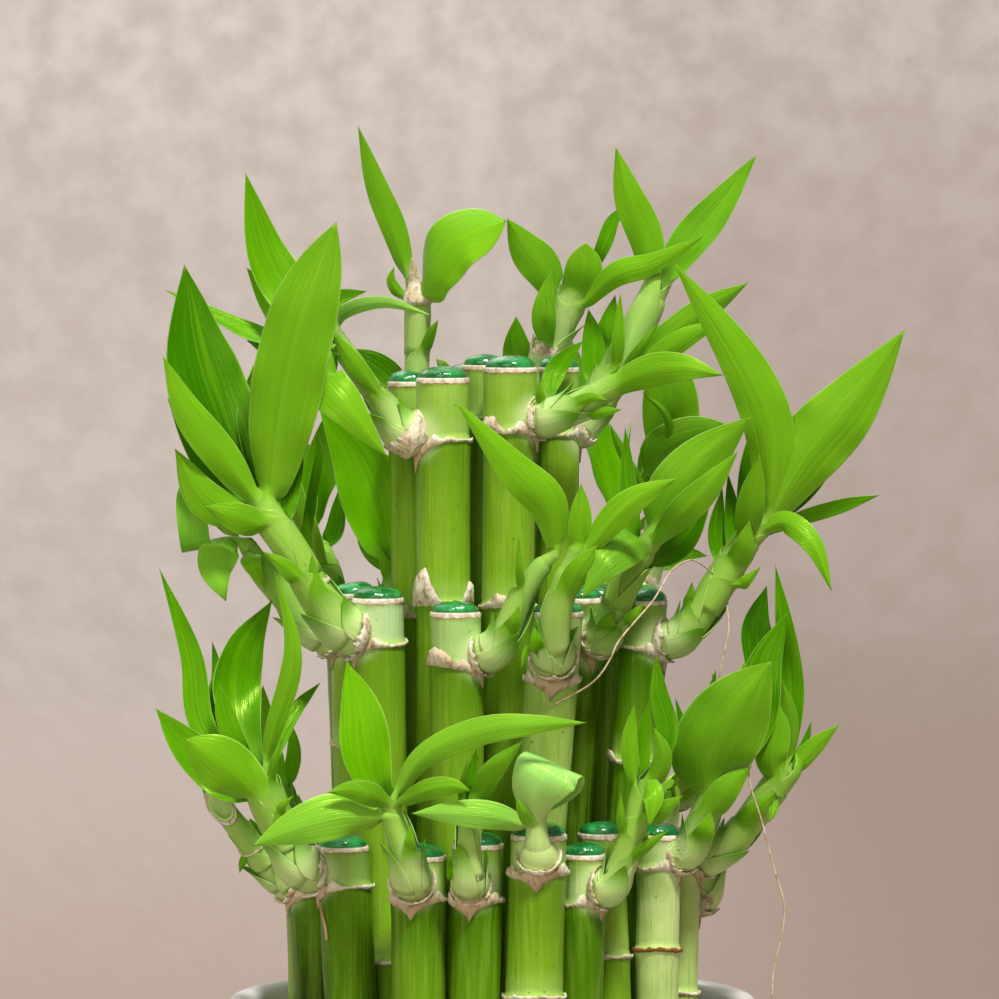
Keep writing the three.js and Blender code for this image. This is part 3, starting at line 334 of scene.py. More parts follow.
# %% Front shoots: cane, stem as x, depth, height and radius, leaves as width, roll and points
SHOOTS = [
  ["middle_cane_2",
    [[-25, -18, 151.5, 4.0], [-32, -20.5, 154, 5.2], [-36.5, -22, 160, 4.5], [-42, -23, 169.5, 3.9],
      [-47, -23, 177, 3.7], [-50.3, -22.5, 182, 3.2]],
    [[15, -10, [-47.3, -23, 179], [-45, -27, 199], [-40.5, -30, 220], [-33, -31, 240.5]],
      [16, 15, [-50, -20, 180], [-57.5, -19, 197], [-62.7, -17, 213], [-65.4, -14, 231.5]],
      [7.6, 10, [-49.5, -24, 180], [-56.5, -28, 189.5], [-64.5, -31, 200], [-70, -32, 212]],
      [7, 30, [-50, -20, 178], [-59, -15, 187], [-69, -13, 203]],
      [8, 0, [-49, -24, 177], [-60.5, -27, 181], [-67.5, -28, 192.3]],
      [6.5, 0, [-47, -26, 175], [-54, -31, 177.5], [-61.3, -33, 180]],
      [3.6, 0, [-44, -22, 175], [-42.5, -20, 184], [-40, -18, 191]],
      [5, 45, [-49, -20, 182], [-52, -16, 198], [-50.8, -15, 210]],
      [3.2, 0, [-35.5, -25, 158], [-37.8, -26, 164], [-38.3, -26, 170]],
      [4, 0, [-40, -26, 163], [-44, -27.3, 167], [-49, -27.5, 170.5]]]],
  ["middle_cane_1",
    [[-31, -5, 151, 4.0], [-38.5, -7, 154, 4.1], [-43.5, -9, 160, 3.8], [-48.5, -10.5, 166, 3.7],
      [-52, -12, 171.5, 3.0]],
    [[8.6, 0, [-55, -14, 174], [-57.8, -17, 171], [-58.7, -19, 166], [-56.6, -20, 159.6]],
      [4.6, 0, [-51.8, -13, 171], [-51, -17.2, 167.5], [-48.3, -16.9, 162.3]],
      [4.6, 0, [-39, -6, 155], [-40, -4, 167], [-39.3, -4, 179]],
      [2.3, 0, [-40, -6, 158], [-39.2, -2, 176], [-36.9, -2, 190], [-37.3, -2, 195.5]],
      [6.4, 0, [-52, -12, 171], [-58, -9, 178], [-62.5, -10, 184], [-64, -14, 180.5],
        [-63.2, -15, 172.5], [-62.6, -12.6, 170.6], [-62.4, -11, 173]]]],
  ["top_cane_2",
    [[-13, -14, 194.5, 4.0], [-19, -15.5, 196, 4.5], [-22.5, -16.5, 200.5, 3.2],
      [-26.5, -17.5, 206, 2.8], [-31, -18.5, 212.5, 2.6], [-33.5, -19, 217, 2.2]],
    [[9.5, 0, [-33, -19.5, 214], [-36.5, -24, 208], [-31, -28, 201], [-22.2, -28, 190.3]],
      [4, 0, [-22.5, -19, 201.5], [-29, -22.5, 210], [-34.2, -22.5, 217.4]],
      [3, 20, [-33.6, -19, 215.5], [-31.5, -20.5, 221], [-23, -24, 223.3], [-12.7, -27, 220.5]],
      [4, 0, [-33.6, -19, 215.5], [-33.5, -17, 223.5], [-26.5, -16, 225.8]],
      [10, 10, [-33, -18.5, 215], [-40.5, -12, 222], [-48, -9, 234], [-52.4, -8, 251]],
      [8, 0, [-33, -18.5, 214], [-43, -10, 220], [-52.2, -6, 230.7]],
      [3.4, 55, [-33, -18, 214], [-46, -9, 215], [-58, -8, 220], [-69.5, -8, 226]],
      [3.5, 50, [-32, -18, 213], [-44, -7, 212], [-52.3, -5, 215.3]]]],
  ["top_cane_1",
    [[-17, 2, 194, 3.0], [-16.5, 6.8, 200, 3.1], [-16.2, 7.5, 210, 3.0], [-15.8, 7.2, 221, 3.2],
      [-16.3, 7, 228, 2.6]],
    [[5.6, 0, [-17, 7, 225], [-20.3, 6, 237.5], [-24.7, 5, 248.5], [-28.5, 4, 261]],
      [14, 0, [-14.8, 6, 222.5], [-12.3, 1, 231], [-7, -2, 237], [3, -3, 240.6]],
      [2.5, 0, [-15, 6, 211], [-13, 3, 216.5], [-11.4, 2, 219.7]],
      [2.6, 0, [-18, 6.5, 223], [-21.3, 5, 227.5], [-20.8, 5, 231]],
      [7, 0, [-17, 7, 203], [-24, 8, 209], [-30.5, 9, 213.6]],
      [6, 0, [-17, 7, 201], [-22.5, 9, 206], [-25, 10, 211]]]],
  ["top_cane_6",
    [[10.4, 11, 197, 3.4], [10.5, 9.4, 205, 3.7], [11.5, 8.4, 212, 3.9], [15, 7, 220, 3.8],
      [18, 6, 226.5, 3.5], [19.5, 5.5, 230, 2.8]],
    [[8.2, 0, [18, 5, 223], [19.4, 1, 229.5], [20, 0, 236]],
      [8.6, 0, [14.5, 6, 222], [11, 4, 230], [7, 3, 235], [3.1, 2, 241.3]],
      [5.2, 0, [12, 5, 213], [11, 2.5, 221], [12.7, 2, 230.2]],
      [2.8, 0, [11.8, 5, 212], [12, 0, 219.5], [11.6, -0.5, 225.3]],
      [5.6, 0, [18, 5, 221], [26, -1, 229], [34, -3, 231.5], [45.2, -4, 237.5]],
      [3.4, 0, [19, 6, 226], [23.5, 8, 235], [25.6, 9, 240.5], [28.7, 9, 244]],
      [7, 0, [9, 11, 205], [5.6, 14, 212], [5.1, 15, 220.5]]]],
  ["top_cane_5",
    [[15.5, -2, 193.5, 3.2], [20, 0, 198, 3.8], [24, 1, 205, 4.2], [29, 1, 214, 4.4],
      [33, 1, 222, 4.2], [35.6, 1, 227.5, 3.2]],
    [[2.8, 0, [26, -1, 206], [26.8, -4.5, 215], [27.3, -5, 225.4]],
      [7.6, 0, [34, 1, 224], [33, 0, 236], [29, -2, 246], [26.2, -3, 256.5]],
      [8, -10, [35, 2, 225], [41, 2, 235], [48, 1, 243.5], [56.3, 0, 254.8]],
      [7, 10, [25, 0, 207], [35, -3, 213.5], [45, -4, 221.5], [54.6, -4, 227.6]],
      [2.2, 0, [27, -1, 208], [31.5, -6, 213.5], [35.8, -7, 219.6]],
      [4.8, 0, [27, -2, 207], [36, -7, 212.5], [42.5, -9, 216.5], [49.3, -10, 219.2]],
      [5, 0, [21, 2, 204], [21.5, 5, 214], [20.5, 5, 222]],
      [5, 0, [23, 3, 207], [24.3, 7, 216], [26.2, 8, 225]]]],
  ["top_cane_4",
    [[6, -14, 198.5, 3.6], [12.5, -15.8, 199, 3.9], [17.5, -17.3, 201, 3.7], [23, -18.3, 204, 3.4],
      [27, -19, 206.3, 2.9]],
    [[7.2, 0, [24, -19, 203.8], [31.5, -24, 208], [40, -28, 209.5], [49.3, -30, 207.8]],
      [4.5, 0, [11, -15, 202], [14, -10.5, 209.5], [19.4, -9.5, 215.2]],
      [2.8, 0, [16, -20, 200.5], [20.5, -22, 203], [24.8, -22.5, 202.5]],
      [3, 0, [18, -19, 199.5], [23.5, -20.5, 200], [27.7, -21, 200.6]],
      [2.4, 0, [20, -17, 203], [24, -14.5, 206], [27.3, -13.5, 210]],
      [1.8, 0, [25, -20, 204.3], [32, -23, 205.6], [38.2, -24, 206.3]],
      [2.4, 0, [11, -16, 200.5], [10.2, -19, 203.5], [10, -19.5, 207.3]]]],
  ["middle_cane_3",
    [[-5, -27, 147.5, 3.8], [0.5, -29.5, 149.5, 4.0], [3.5, -31, 154, 3.4], [6.5, -32, 161, 3.0],
      [10.5, -33, 167, 2.7], [13.5, -34, 169.5, 2.2]],
    [[8.6, 0, [13.5, -34, 169], [12, -38, 180], [4.5, -41, 188], [-7.8, -42, 202.5]],
      [3.6, 0, [1.8, -32, 151], [4.5, -35.5, 155], [5.8, -36, 158.7]],
      [1.8, 0, [6.6, -33, 160], [5.8, -36.5, 166.5], [5.7, -37, 173.8]]]],
  ["middle_cane_4",
    [[13.5, -29, 146, 4.4], [13, -34, 149, 4.2], [13.5, -38, 156, 3.5], [15.5, -40, 164, 3.1],
      [18, -41, 170, 2.6]],
    [[4.9, 0, [18, -41, 167.5], [18.8, -43.5, 177], [19, -44, 184.9]],
      [6.2, 0, [18.8, -41.5, 168], [25, -44.5, 176.5], [31, -46, 181.8], [39.6, -47, 186]],
      [5, 0, [15, -41, 159], [18, -44.5, 166], [22.6, -45, 171.9]],
      [3, 0, [11.6, -37, 147], [9.5, -40, 151], [9.2, -39.5, 154.6]],
      [1.9, 0, [10, -34, 151.5], [7.4, -35.5, 149], [6.1, -35.5, 145]]]],
  ["middle_cane_5",
    [[20, -14.5, 150, 3.4], [24, -18, 153, 4.0], [26, -20.5, 158, 3.9], [28.5, -22.5, 164, 3.7],
      [32, -24.5, 170, 3.4], [34.6, -25.5, 173.5, 2.8]],
    [[12, 0, [33.3, -25, 171], [38, -28, 181.5], [45.5, -29, 190.5], [55.2, -30, 199.2]],
      [8.6, 0, [33.5, -26.5, 171], [30.2, -36, 172.4], [25, -43, 168.4], [19, -46, 160.2]],
      [6.6, 0, [33.5, -26, 171], [40, -34, 178], [46, -36.5, 184], [52.4, -37, 191.7]],
      [3.8, 0, [31, -23, 168.5], [29.2, -20, 182], [28.3, -19, 197]],
      [8, 20, [32, -23, 168], [39.5, -17, 173.5], [47, -15, 184]],
      [4, 0, [24, -20.5, 152], [24.6, -24.8, 155.2], [25.8, -25, 157.8]],
      [3.2, 0, [27, -22, 153.5], [30, -24.5, 156.5], [32.3, -24.5, 159.3]]]],
  ["middle_cane_6",
    [[33, -10, 151.5, 3.8], [39.5, -11.5, 152, 4.1], [44, -12.5, 156.5, 4.0], [49, -13.5, 164.5, 3.7],
      [53.5, -14, 171.3, 3.6], [57.8, -14.5, 176, 3.0]],
    [[10.6, 0, [58, -15, 175], [59.5, -18, 193], [54, -20, 209], [38.5, -20, 232]],
      [14.6, 0, [57.5, -14, 175], [66.5, -17, 190.5], [76.5, -19, 202], [87.9, -19, 217.7]],
      [3.4, 20, [57, -13.5, 174], [66, -11, 177.6], [75, -10, 180.3], [82.6, -9, 182.4]],
      [5, 0, [57, -16, 174.3], [62.5, -19, 176.6], [68.5, -22, 171.5], [72.4, -23, 161.7]],
      [6, 0, [54, -16, 171], [55, -21, 180], [57, -23, 191]],
      [4, 0, [57.5, -12.5, 175.5], [66, -8, 182.5], [74, -7, 190.5]],
      [3, 0, [57.5, -12.5, 175.5], [62.5, -7, 190], [65, -6, 198.2]],
      [5.5, 0, [53.5, -12, 172], [55, -8, 185], [54.6, -8, 195.2]],
      [3.8, 0, [49.5, -12, 165], [47.8, -9, 174], [49, -9, 184]],
      [3.4, 0, [51, -12.5, 167.5], [51.2, -9.5, 177], [50.2, -9, 187]],
      [2.7, 0, [41, -13, 157], [42.2, -15, 160.5], [42.6, -15, 163.9]],
      [3, 0, [51.5, -15, 162], [54, -17, 164], [57.3, -17.5, 167.1]],
      [5, 0, [51, -16, 166], [53.6, -19.5, 171.5], [54.8, -20, 177]]]],
  ["low_cane_1",
    [[-40, -9.5, 98, 3.8], [-45, -11.5, 100.5, 3.9], [-49, -14, 104.5, 3.4], [-53.5, -17, 110.5, 3.1],
      [-57.8, -20, 116, 2.9]],
    [[2.2, 0, [-51, -15, 106.5], [-53, -17, 104.3], [-53.9, -17, 101.6]],
      [4, 0, [-55, -12.5, 112.5], [-59.5, -10, 118.5], [-62.5, -9.5, 124]]]],
  ["low_cane_2",
    [[-34, -26, 101.5, 4.2], [-41, -28, 103, 4.6], [-44.5, -29, 108.5, 3.7], [-47, -30, 115, 4.2],
      [-49.5, -31, 122, 4.1], [-50.6, -31, 125.5, 3.2]],
    [[11.4, 0, [-48.5, -31.5, 116], [-54.5, -36, 122.5], [-60, -38, 126.7], [-65.3, -39, 130.4]],
      [8.6, 0, [-50, -30, 117.5], [-57, -27, 121.5], [-65, -26, 129], [-71.7, -25, 136.9]],
      [5.6, 0, [-50, -29.5, 119], [-61.5, -23, 133], [-64.1, -20, 148.5], [-70.9, -18, 167]],
      [4.4, 0, [-49.2, -32, 122], [-46.5, -35, 132.5], [-43, -37, 144], [-42.8, -37, 153],
        [-46.4, -35, 166.5]],
      [10, 20, [-50.5, -29, 123.5], [-54.4, -19, 138], [-53, -16, 149], [-46.8, -14, 160]],
      [4.6, 0, [-50, -30, 121], [-56, -29, 133], [-58.4, -28, 142.8]],
      [3, 0, [-50.5, -30, 121], [-59, -20, 135], [-58.5, -16, 144], [-59.6, -15, 151.4]],
      [3.2, 0, [-48.5, -29, 121], [-43, -18, 134.8], [-36.5, -13, 142.5]],
      [2.6, 0, [-45.5, -31, 112], [-45, -34, 115.5], [-42.2, -34.5, 118.3]],
      [1.9, 0, [-47.5, -32.5, 118], [-46.6, -35.5, 125], [-44.4, -36, 131]]]],
  ["low_cane_3",
    [[-16.3, -38, 99, 4.1], [-17.3, -42, 100.5, 4.2], [-18.6, -44.5, 106, 3.5], [-20.8, -45.5, 113, 3.0],
      [-22, -46, 117.5, 2.6]],
    [[10.3, 0, [-22.8, -45.5, 115.5], [-26.4, -46.5, 126], [-28, -46, 136.5], [-31, -44, 147]],
      [6, 0, [-21, -46, 116.5], [-15, -50, 126], [-3, -54, 131.8], [9, -56, 133.4], [20.4, -56, 133.8]],
      [9.6, 0, [-22, -46.5, 113], [-31.5, -51, 114], [-41, -53, 111.7], [-51.2, -53, 107.4]],
      [5, 0, [-21.5, -47, 115], [-25.5, -51.5, 118.2], [-30, -53, 119.4], [-35.2, -54, 118.9]],
      [4.4, 0, [-21.5, -47, 115], [-15, -52, 119], [-9, -54, 120.2], [-4.4, -54, 119.2]],
      [2.8, 0, [-17.5, -46, 103.5], [-17.6, -48.5, 108], [-17.3, -48.5, 112.2]]]],
  ["low_cane_4",
    [[-4.2, -40.5, 99, 3.7], [-4.8, -44, 100, 3.6], [-4.8, -45.5, 106, 3.0], [-4.6, -46, 113, 2.7],
      [-4, -46, 117, 2.4]],
    [[4.7, 0, [-4.3, -46, 114], [-0.5, -48.5, 122.5], [6.6, -50, 130]],
      [3, 0, [-4.6, -46, 113], [-4.5, -45, 121.5], [-3.2, -44.5, 128.6]],
      [2.2, 0, [-5.2, -46, 112], [-6.2, -47, 119], [-5.2, -47.5, 126.2]],
      [2.3, 0, [-7, -44.5, 98], [-8.7, -46.5, 101.5], [-8.9, -46.5, 104.8]]]],
  ["low_cane_5",
    [[10, -41.5, 103.8, 4.1], [10, -44.5, 105, 4.1], [9.7, -46.5, 108, 3.7], [9.5, -47, 112, 3]],
    [[13.2, 0, [9.6, -47, 110.5], [8.6, -51, 117], [11, -53, 122.6], [13.4, -50, 124.6],
        [14.6, -47, 121], [11.7, -46, 114.6]],
      [6, 0, [9, -47.5, 111], [1, -51, 113.7], [-8, -52.5, 114.5], [-17.3, -53, 114.4]],
      [2.6, 0, [8.8, -48, 110.5], [6.6, -52.5, 114.5], [5, -53.5, 118]]]],
  ["low_cane_6",
    [[20.5, -33, 98.5, 3.6], [25.5, -35.5, 99, 3.9], [27.8, -37, 104, 3.0], [30, -38, 111, 2.7],
      [32, -38.5, 118, 2.8], [33.3, -39, 122, 2.4]],
    [[3.6, 0, [31.6, -39, 117], [29.3, -40, 128], [30.3, -40, 137.8]],
      [4.6, 0, [33, -38.5, 119.5], [37.3, -37, 131], [35.6, -36, 140], [35, -35, 148.4]],
      [4.2, 0, [33.6, -40, 119], [36.4, -42.5, 126.5], [34.3, -43, 133]],
      [5.2, 0, [31.6, -40, 121], [34.3, -44, 118], [33.5, -45, 111.5]],
      [3.2, 0, [32.4, -38.5, 119], [32.2, -36.5, 129], [33.4, -36, 138.4]],
      [2.6, 0, [28.5, -38.5, 103.5], [33, -42, 107.5], [37.7, -43, 110.8]],
      [4.6, 0, [31.5, -39, 111.5], [36, -42, 115], [40.7, -43, 118.2]],
      [2.4, 0, [29, -38.5, 108.5], [27.6, -41, 113], [27.3, -41.5, 119]]]],
  ["low_cane_8",
    [[37, -18, 104, 3.2], [42, -20.5, 106.5, 3.4], [44.5, -22, 112, 3.4], [46.5, -23, 118, 3.1],
      [48, -23.5, 122, 2.6]],
    [[17.5, 0, [45.3, -23, 116], [46.2, -28, 126], [52, -31, 136.5], [59.5, -32, 147]],
      [9, 0, [47.6, -22.5, 120], [55.5, -18, 133], [58, -16, 146], [62.8, -15, 157.3]],
      [6, 0, [45, -24, 111.5], [49.5, -27, 119], [55.4, -27.5, 124.7]],
      [4.6, 0, [43.3, -23.5, 107], [45.5, -26.5, 110.8], [46.7, -26.5, 114.9]],
      [3.6, 0, [46.7, -21.5, 119], [45.7, -15, 133], [47.7, -14, 145.3]],
      [2.6, 0, [46.4, -21.5, 118.5], [42, -14, 129], [39, -13, 139.3]]]],
  ["low_cane_9",
    [[42, -5.5, 104, 3.6], [48, -8.5, 106.3, 3.9], [53, -10.5, 110.5, 3.6], [58, -12, 117, 3.5],
      [62, -13, 122.5, 3.2], [63.6, -13.3, 125, 2.6]],
    [[5.4, 0, [62.5, -13, 122], [63.9, -11, 138], [62.6, -9, 152], [60.3, -8, 167.6]],
      [7, 10, [60.5, -12, 121], [57, -7, 147], [56.3, -6, 155], [58.5, -6, 163.1]],
      [7, 0, [61, -13.5, 119.5], [59.5, -18, 126], [60.7, -19, 132.5], [60.5, -19, 139.5]],
      [3.8, 0, [62.7, -14, 123], [63.4, -16, 134], [61.8, -16.5, 143]],
      [4.1, 0, [62, -13, 121], [68, -14, 128], [74, -14.5, 133.5]],
      [2.2, 0, [63, -12, 123.5], [66.5, -9.5, 129], [68.1, -9.5, 134.2]],
      [4.6, 0, [52.5, -13, 110.5], [56, -16.5, 115], [60.7, -17.5, 119]],
      [2.2, 0, [61, -14.5, 119], [60, -17, 115], [59, -17.5, 112.4]]]],
  ["middle_cane_8",
    [[-17.5, 9.5, 156, 2.9], [-20.6, 7.6, 162, 2.9], [-21.6, 6.6, 168, 2.3]],
    [[13, 0, [-21.6, 6.6, 166], [-24.6, 4.5, 178], [-29, 3.5, 190], [-37, 2.5, 201.5]],
      [2.6, 0, [-21.8, 7, 167], [-26.5, 7.5, 176], [-33.2, 7.5, 183]],
      [3, 0, [-20.5, 7, 162], [-22.6, 3.5, 167], [-24, 3, 172]]]],
  ["middle_cane_12",
    [[30.5, 6.4, 158, 3.2], [33, 10, 165, 3.1], [35, 10.5, 176, 2.9], [36, 10.5, 187, 2.4]],
    [[12.2, 0, [36.2, 10.5, 185], [38, 9, 196], [37.6, 8, 207], [36, 8, 216]],
      [8.4, 10, [35.8, 10, 184], [35.5, 6, 191.5], [43, 4, 195.7], [51.5, 3, 197]],
      [1.8, 0, [36, 9.5, 186], [37.5, 3, 198], [31.9, 2, 204.3]],
      [3.4, 0, [34, 10.5, 166], [41, 12, 169.6], [46, 13, 169.4]],
      [2.2, 0, [34.5, 8, 180], [28, 2, 191], [25, 1, 197.6]]]],
]
print("shoots drawn:", len(SHOOTS))

# %% Far shoots: cane, the front shoot that it repeats, turn in degrees, reach and rise
FAR_SHOOTS = [
  ["low_cane_10", "low_cane_6", 150, 0.9, 0.8],
  ["low_cane_11", "low_cane_4", 230, 1.1, 0.9],
  ["low_cane_13", "low_cane_8", 112, 0.9, 0.85],
  ["low_cane_14", "low_cane_3", 176, 0.8, 0.9],
  ["low_cane_15", "low_cane_6", 84, 1, 0.9],
  ["low_cane_16", "low_cane_5", 165, 0.8, 1],
  ["low_cane_17", "low_cane_2", 232, 0.85, 0.75],
  ["low_cane_18", "low_cane_4", 120, 1, 0.7],
  ["middle_cane_7", "middle_cane_6", 128, 0.75, 0.7],
  ["middle_cane_9", "middle_cane_5", 150, 0.8, 0.85],
  ["middle_cane_10", "middle_cane_3", 100, 0.8, 0.8],
  ["middle_cane_11", "middle_cane_2", 238, 0.8, 0.72],
  ["top_cane_7", "top_cane_4", 112, 0.8, 0.6],
]
print("shoots repeated:", len(FAR_SHOOTS))

# %% Bends, in millimetres at the tip, that a leaf may take to stay clear of its neighbours
BENDS = [0, 3, -3, 6, -6, 9, -9, 12, -12, 16, -16, 20, -20, 25, -25]
print("bends to try:", len(BENDS))

# %% [markdown]
# ## Shoots on the far side
# The photograph hides the back of the plant, yet it has the same kind of shoots. They could be
# drawn point by point as well, but nothing shows where the points should be. So each one there
# repeats a front shoot with its larger leaves, turned about the upright axis and set on its own
# cane.

# %% Place every shoot in space
UP = Vector((0, 0, 1))
TOWARDS_EYE = Vector((0, -1, 0))
SHORTEST_FAR_LEAF = 16
FAR_SHARE = 0.95
FAR_ROLL = 15


def cut_end(name):
    """The middle of a cane's cut top."""
    return sight(*CANES[name][:3])


def shoot_rows():
    """Each shoot as its cane, its facing, stem points, stem radii and leaves."""
    rows = []
    for name, stem, leaves in SHOOTS:
        line = [sight(*point[:3]) for point in stem]
        blades = [(leaf[0], leaf[1], [sight(*point) for point in leaf[2:]], number)
                  for number, leaf in enumerate(leaves)]
        rows.append((name, TOWARDS_EYE, line, [point[3] for point in stem], blades))
    by_cane = {row[0]: row for row in rows}
    for name, source, turn, reach, rise in FAR_SHOOTS:
        start, end = cut_end(source), cut_end(name)
        spin = Quaternion(UP, math.radians(turn))

        def move(point):
            away = point - start
            lift = rise if away.z > 0 else 1
            return spin @ Vector((away.x * reach, away.y * reach, away.z * lift)) + end

        _, _, line, radii, blades = by_cane[source]
        kept = [b for b in blades if (b[2][0] - b[2][-1]).length > SHORTEST_FAR_LEAF]
        rows.append((name, spin @ TOWARDS_EYE, [move(p) for p in line],
                     [r * FAR_SHARE for r in radii],
                     [(w * FAR_SHARE, roll + FAR_ROLL, [move(p) for p in points], None)
                      for w, roll, points, _ in kept]))
    return rows


ROWS = shoot_rows()
print("shoots in all:", len(ROWS), "leaves:", sum(len(row[4]) for row in ROWS))

# %% [markdown]
# ## A smooth line through points
# Stems and midribs are drawn by three to six points. Straight stretches between them would look
# broken, and a Bezier curve needs handles. A Catmull-Rom spline passes through every point and
# needs nothing else, so one short formula gives the place and the direction anywhere on the line.


# %% Follow a line
LINE_STEPS = 24


def along(points, share):
    """The place and the direction at a share of the way along a smooth line."""
    last = len(points) - 1
    whole = min(max(share, 0), 1) * last
    i = min(int(whole), last - 1)
    t = whole - i
    b, c = points[i], points[i + 1]
    a = points[i - 1] if i > 0 else 2 * b - c
    d = points[i + 2] if i + 2 <= last else 2 * c - b
    bend, pull = 2 * a - 5 * b + 4 * c - d, 3 * b - a - 3 * c + d
    place = 0.5 * (2 * b + (c - a) * t + bend * t * t + pull * t ** 3)
    direction = 0.5 * ((c - a) + 2 * bend * t + 3 * pull * t * t)
    return place, direction.normalized()


def line_length(points):
    """The length of a line, measured in short steps."""
    steps = [along(points, i / LINE_STEPS)[0] for i in range(LINE_STEPS + 1)]
    return sum((b - a).length for a, b in zip(steps, steps[1:]))


def hump(distance, width):
    """A soft bump: 1 at distance 0, fading over width."""
    return math.exp(-(distance / width) ** 2)


def ease(low, high, value):
    """A smooth step from 0 to 1 between two values."""
    t = min(max((value - low) / (high - low), 0), 1)
    return t * t * (3 - 2 * t)


print("longest stem:", round(max(line_length(row[2]) for row in ROWS)), "mm")

# %% [markdown]
# ## From points to a piece
# Every piece below is a list of points and faces with a few marks: numbers stored at each point
# that the finish reads, such as how far a spot is from a ring. Marks follow the surface, so a
# pattern stays where it grew, which no texture laid over the whole scene could promise.


# %% Make a piece from points
class Shape:
    """Points, faces and marks that grow until they become one piece."""

    def __init__(self):
        self.points, self.faces, self.marks = [], [], {}

    def add(self, point, **marks):
        """Adds a point with its marks and gives its number."""
        self.points.append(point)
        for name, value in marks.items():
            self.marks.setdefault(name, []).append(value)
        return len(self.points) - 1

    def skin(self, rows, closed=True):
        """Quads between rows of point numbers; closed joins each row's end to its start."""
        for low, high in zip(rows, rows[1:]):
            for i in range(len(low) if closed else len(low) - 1):
                j = (i + 1) % len(low)
                self.faces.append((low[i], low[j], high[j], high[i]))

    def lid(self, row, centre, under=False):
        """A fan of triangles from a row to one point, above the row or under it."""
        for i in range(len(row)):
            face = (row[i], row[(i + 1) % len(row)], centre)
            self.faces.append(face[::-1] if under else face)

    def finish(self, name, finish, slot, *nodes):
        """Makes the piece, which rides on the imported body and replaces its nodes."""
        mesh = bpy.data.meshes.new(name)
        mesh.from_pydata([point * MM for point in self.points], [], self.faces)
        for mark, values in self.marks.items():
            mesh.attributes.new(mark, "FLOAT", "POINT").data.foreach_set("value", values)
        mesh.materials.append(finish.material)
        mesh.shade_smooth()
        piece = bpy.data.objects.new(name, mesh)
        bpy.context.scene.collection.objects.link(piece)
        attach(piece, "root")
        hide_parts(*nodes)
        return piece


def around(angle):
    """The level direction at a compass angle."""
    return Vector((math.cos(angle), math.sin(angle), 0))


chance = random.Random(8)
print("seeded chance, first draw:", round(chance.random(), 3))

# %% [markdown]
# ## How a stem holds together
# Leaves, scales and collars all cling to their stem, so each needs to know where the stem is,
# how thick it is there, and which way is round it. A frame that always turns towards "up" spins
# wildly where a stem stands upright. This one is carried along the line and turned as little as
# possible, so angles round the stem mean the same thing from its foot to its tip.

# %% The stem's own ruler
STEM_STATIONS = 60
SEARCH_STEPS = 80
SLIMMER_ABOVE_FOOT = 0.13
ROOM_FOR_SHEATHS = 0.2
TIP_TAPER = 6
TAPERED_AWAY = 0.75
BLUNT = ("low_cane_1",)


class Stem:
    """A shoot's stem, measured in millimetres from its foot."""

    def __init__(self, line, radii, blunt):
        self.length, self.blunt = line_length(line), blunt
        self.radii = [Vector((radius, 0, 0)) for radius in radii]
        self.frames = []
        side = UP.cross(along(line, 0)[1])
        for i in range(STEM_STATIONS + 1):
            place, way = along(line, i / STEM_STATIONS)
            side = (side - way * side.dot(way)).normalized()
            self.frames.append((place, way, side))

    def at(self, mm):
        """The middle, the direction and the side direction; past the tip it goes straight on."""
        whole = min(max(mm / self.length, 0), 1) * STEM_STATIONS
        i = min(int(whole), STEM_STATIONS - 1)
        t = whole - i
        place, way, side = (a.lerp(b, t) for a, b in zip(self.frames[i], self.frames[i + 1]))
        return place + way * max(0, mm - self.length), way.normalized(), side.normalized()

    def bare(self, mm):
        """The radius under the sheaths, without the rounded foot and the pointed tip."""
        foot = self.radii[0].x
        slimmer = SLIMMER_ABOVE_FOOT * ease(foot, 3 * foot, mm)
        return along(self.radii, mm / self.length)[0].x * (1 - slimmer)

    def radius(self, mm):
        """The radius of the stem's own skin."""
        foot = self.radii[0].x
        rounding = math.sqrt(max(0.02, 1 - max(0, 1 - mm / foot) ** 2))
        under_sheaths = ROOM_FOR_SHEATHS * ease(foot, 2 * foot, mm)
        tip = 0 if self.blunt else ease(self.length - TIP_TAPER, self.length, mm)
        taper = 1 - TAPERED_AWAY * tip
        return (self.bare(mm) - under_sheaths) * rounding * taper

    def outward(self, mm, angle):
        """The direction straight out of the stem at an angle round it."""
        _, way, side = self.at(mm)
        return side * math.cos(angle) + way.cross(side) * math.sin(angle)

    def angle(self, mm, direction):
        """The angle round the stem that faces a direction."""
        _, way, side = self.at(mm)
        return math.atan2(direction.dot(way.cross(side)), direction.dot(side))

    def nearest(self, point):
        """How far along the stem a point is."""
        steps = [self.length * i / SEARCH_STEPS for i in range(SEARCH_STEPS + 1)]
        return min(steps, key=lambda mm: (self.at(mm)[0] - point).length)


STEMS = {row[0]: Stem(row[2], row[3], row[0] in BLUNT) for row in ROWS}
print("stems:", len(STEMS))

# %% [markdown]
# ## Where a shoot leaves its cane
# A shoot breaks out of the cane just above a ring, and the ring dips under it in a V with a torn,
# pointed tip. A depth could be guessed for each cane, but then some shoots would cover their
# ring. So the lowest side of the shoot is measured, and the ring is made to pass below it.

# %% Measure each cane and its shoot's foot
RIM_LEVEL = 76
CANE_FOOT = 48
FOOT_STEPS = 100
SHALLOWEST_V, DEEPEST_V = 1.2, 5.2


def cane_frame(name):
    """Top, lean for each millimetre of height, radii and true ring heights of a cane."""
    x, depth, cut, rim_x, rim_depth, upper, lower, rings, _ = CANES[name]
    top, rim = sight(x, depth, cut), sight(rim_x, rim_depth, RIM_LEVEL)
    lean = (top - rim) / (top.z - rim.z)
    return top, lean, upper, lower, [sight(x, depth, z).z for z in rings]


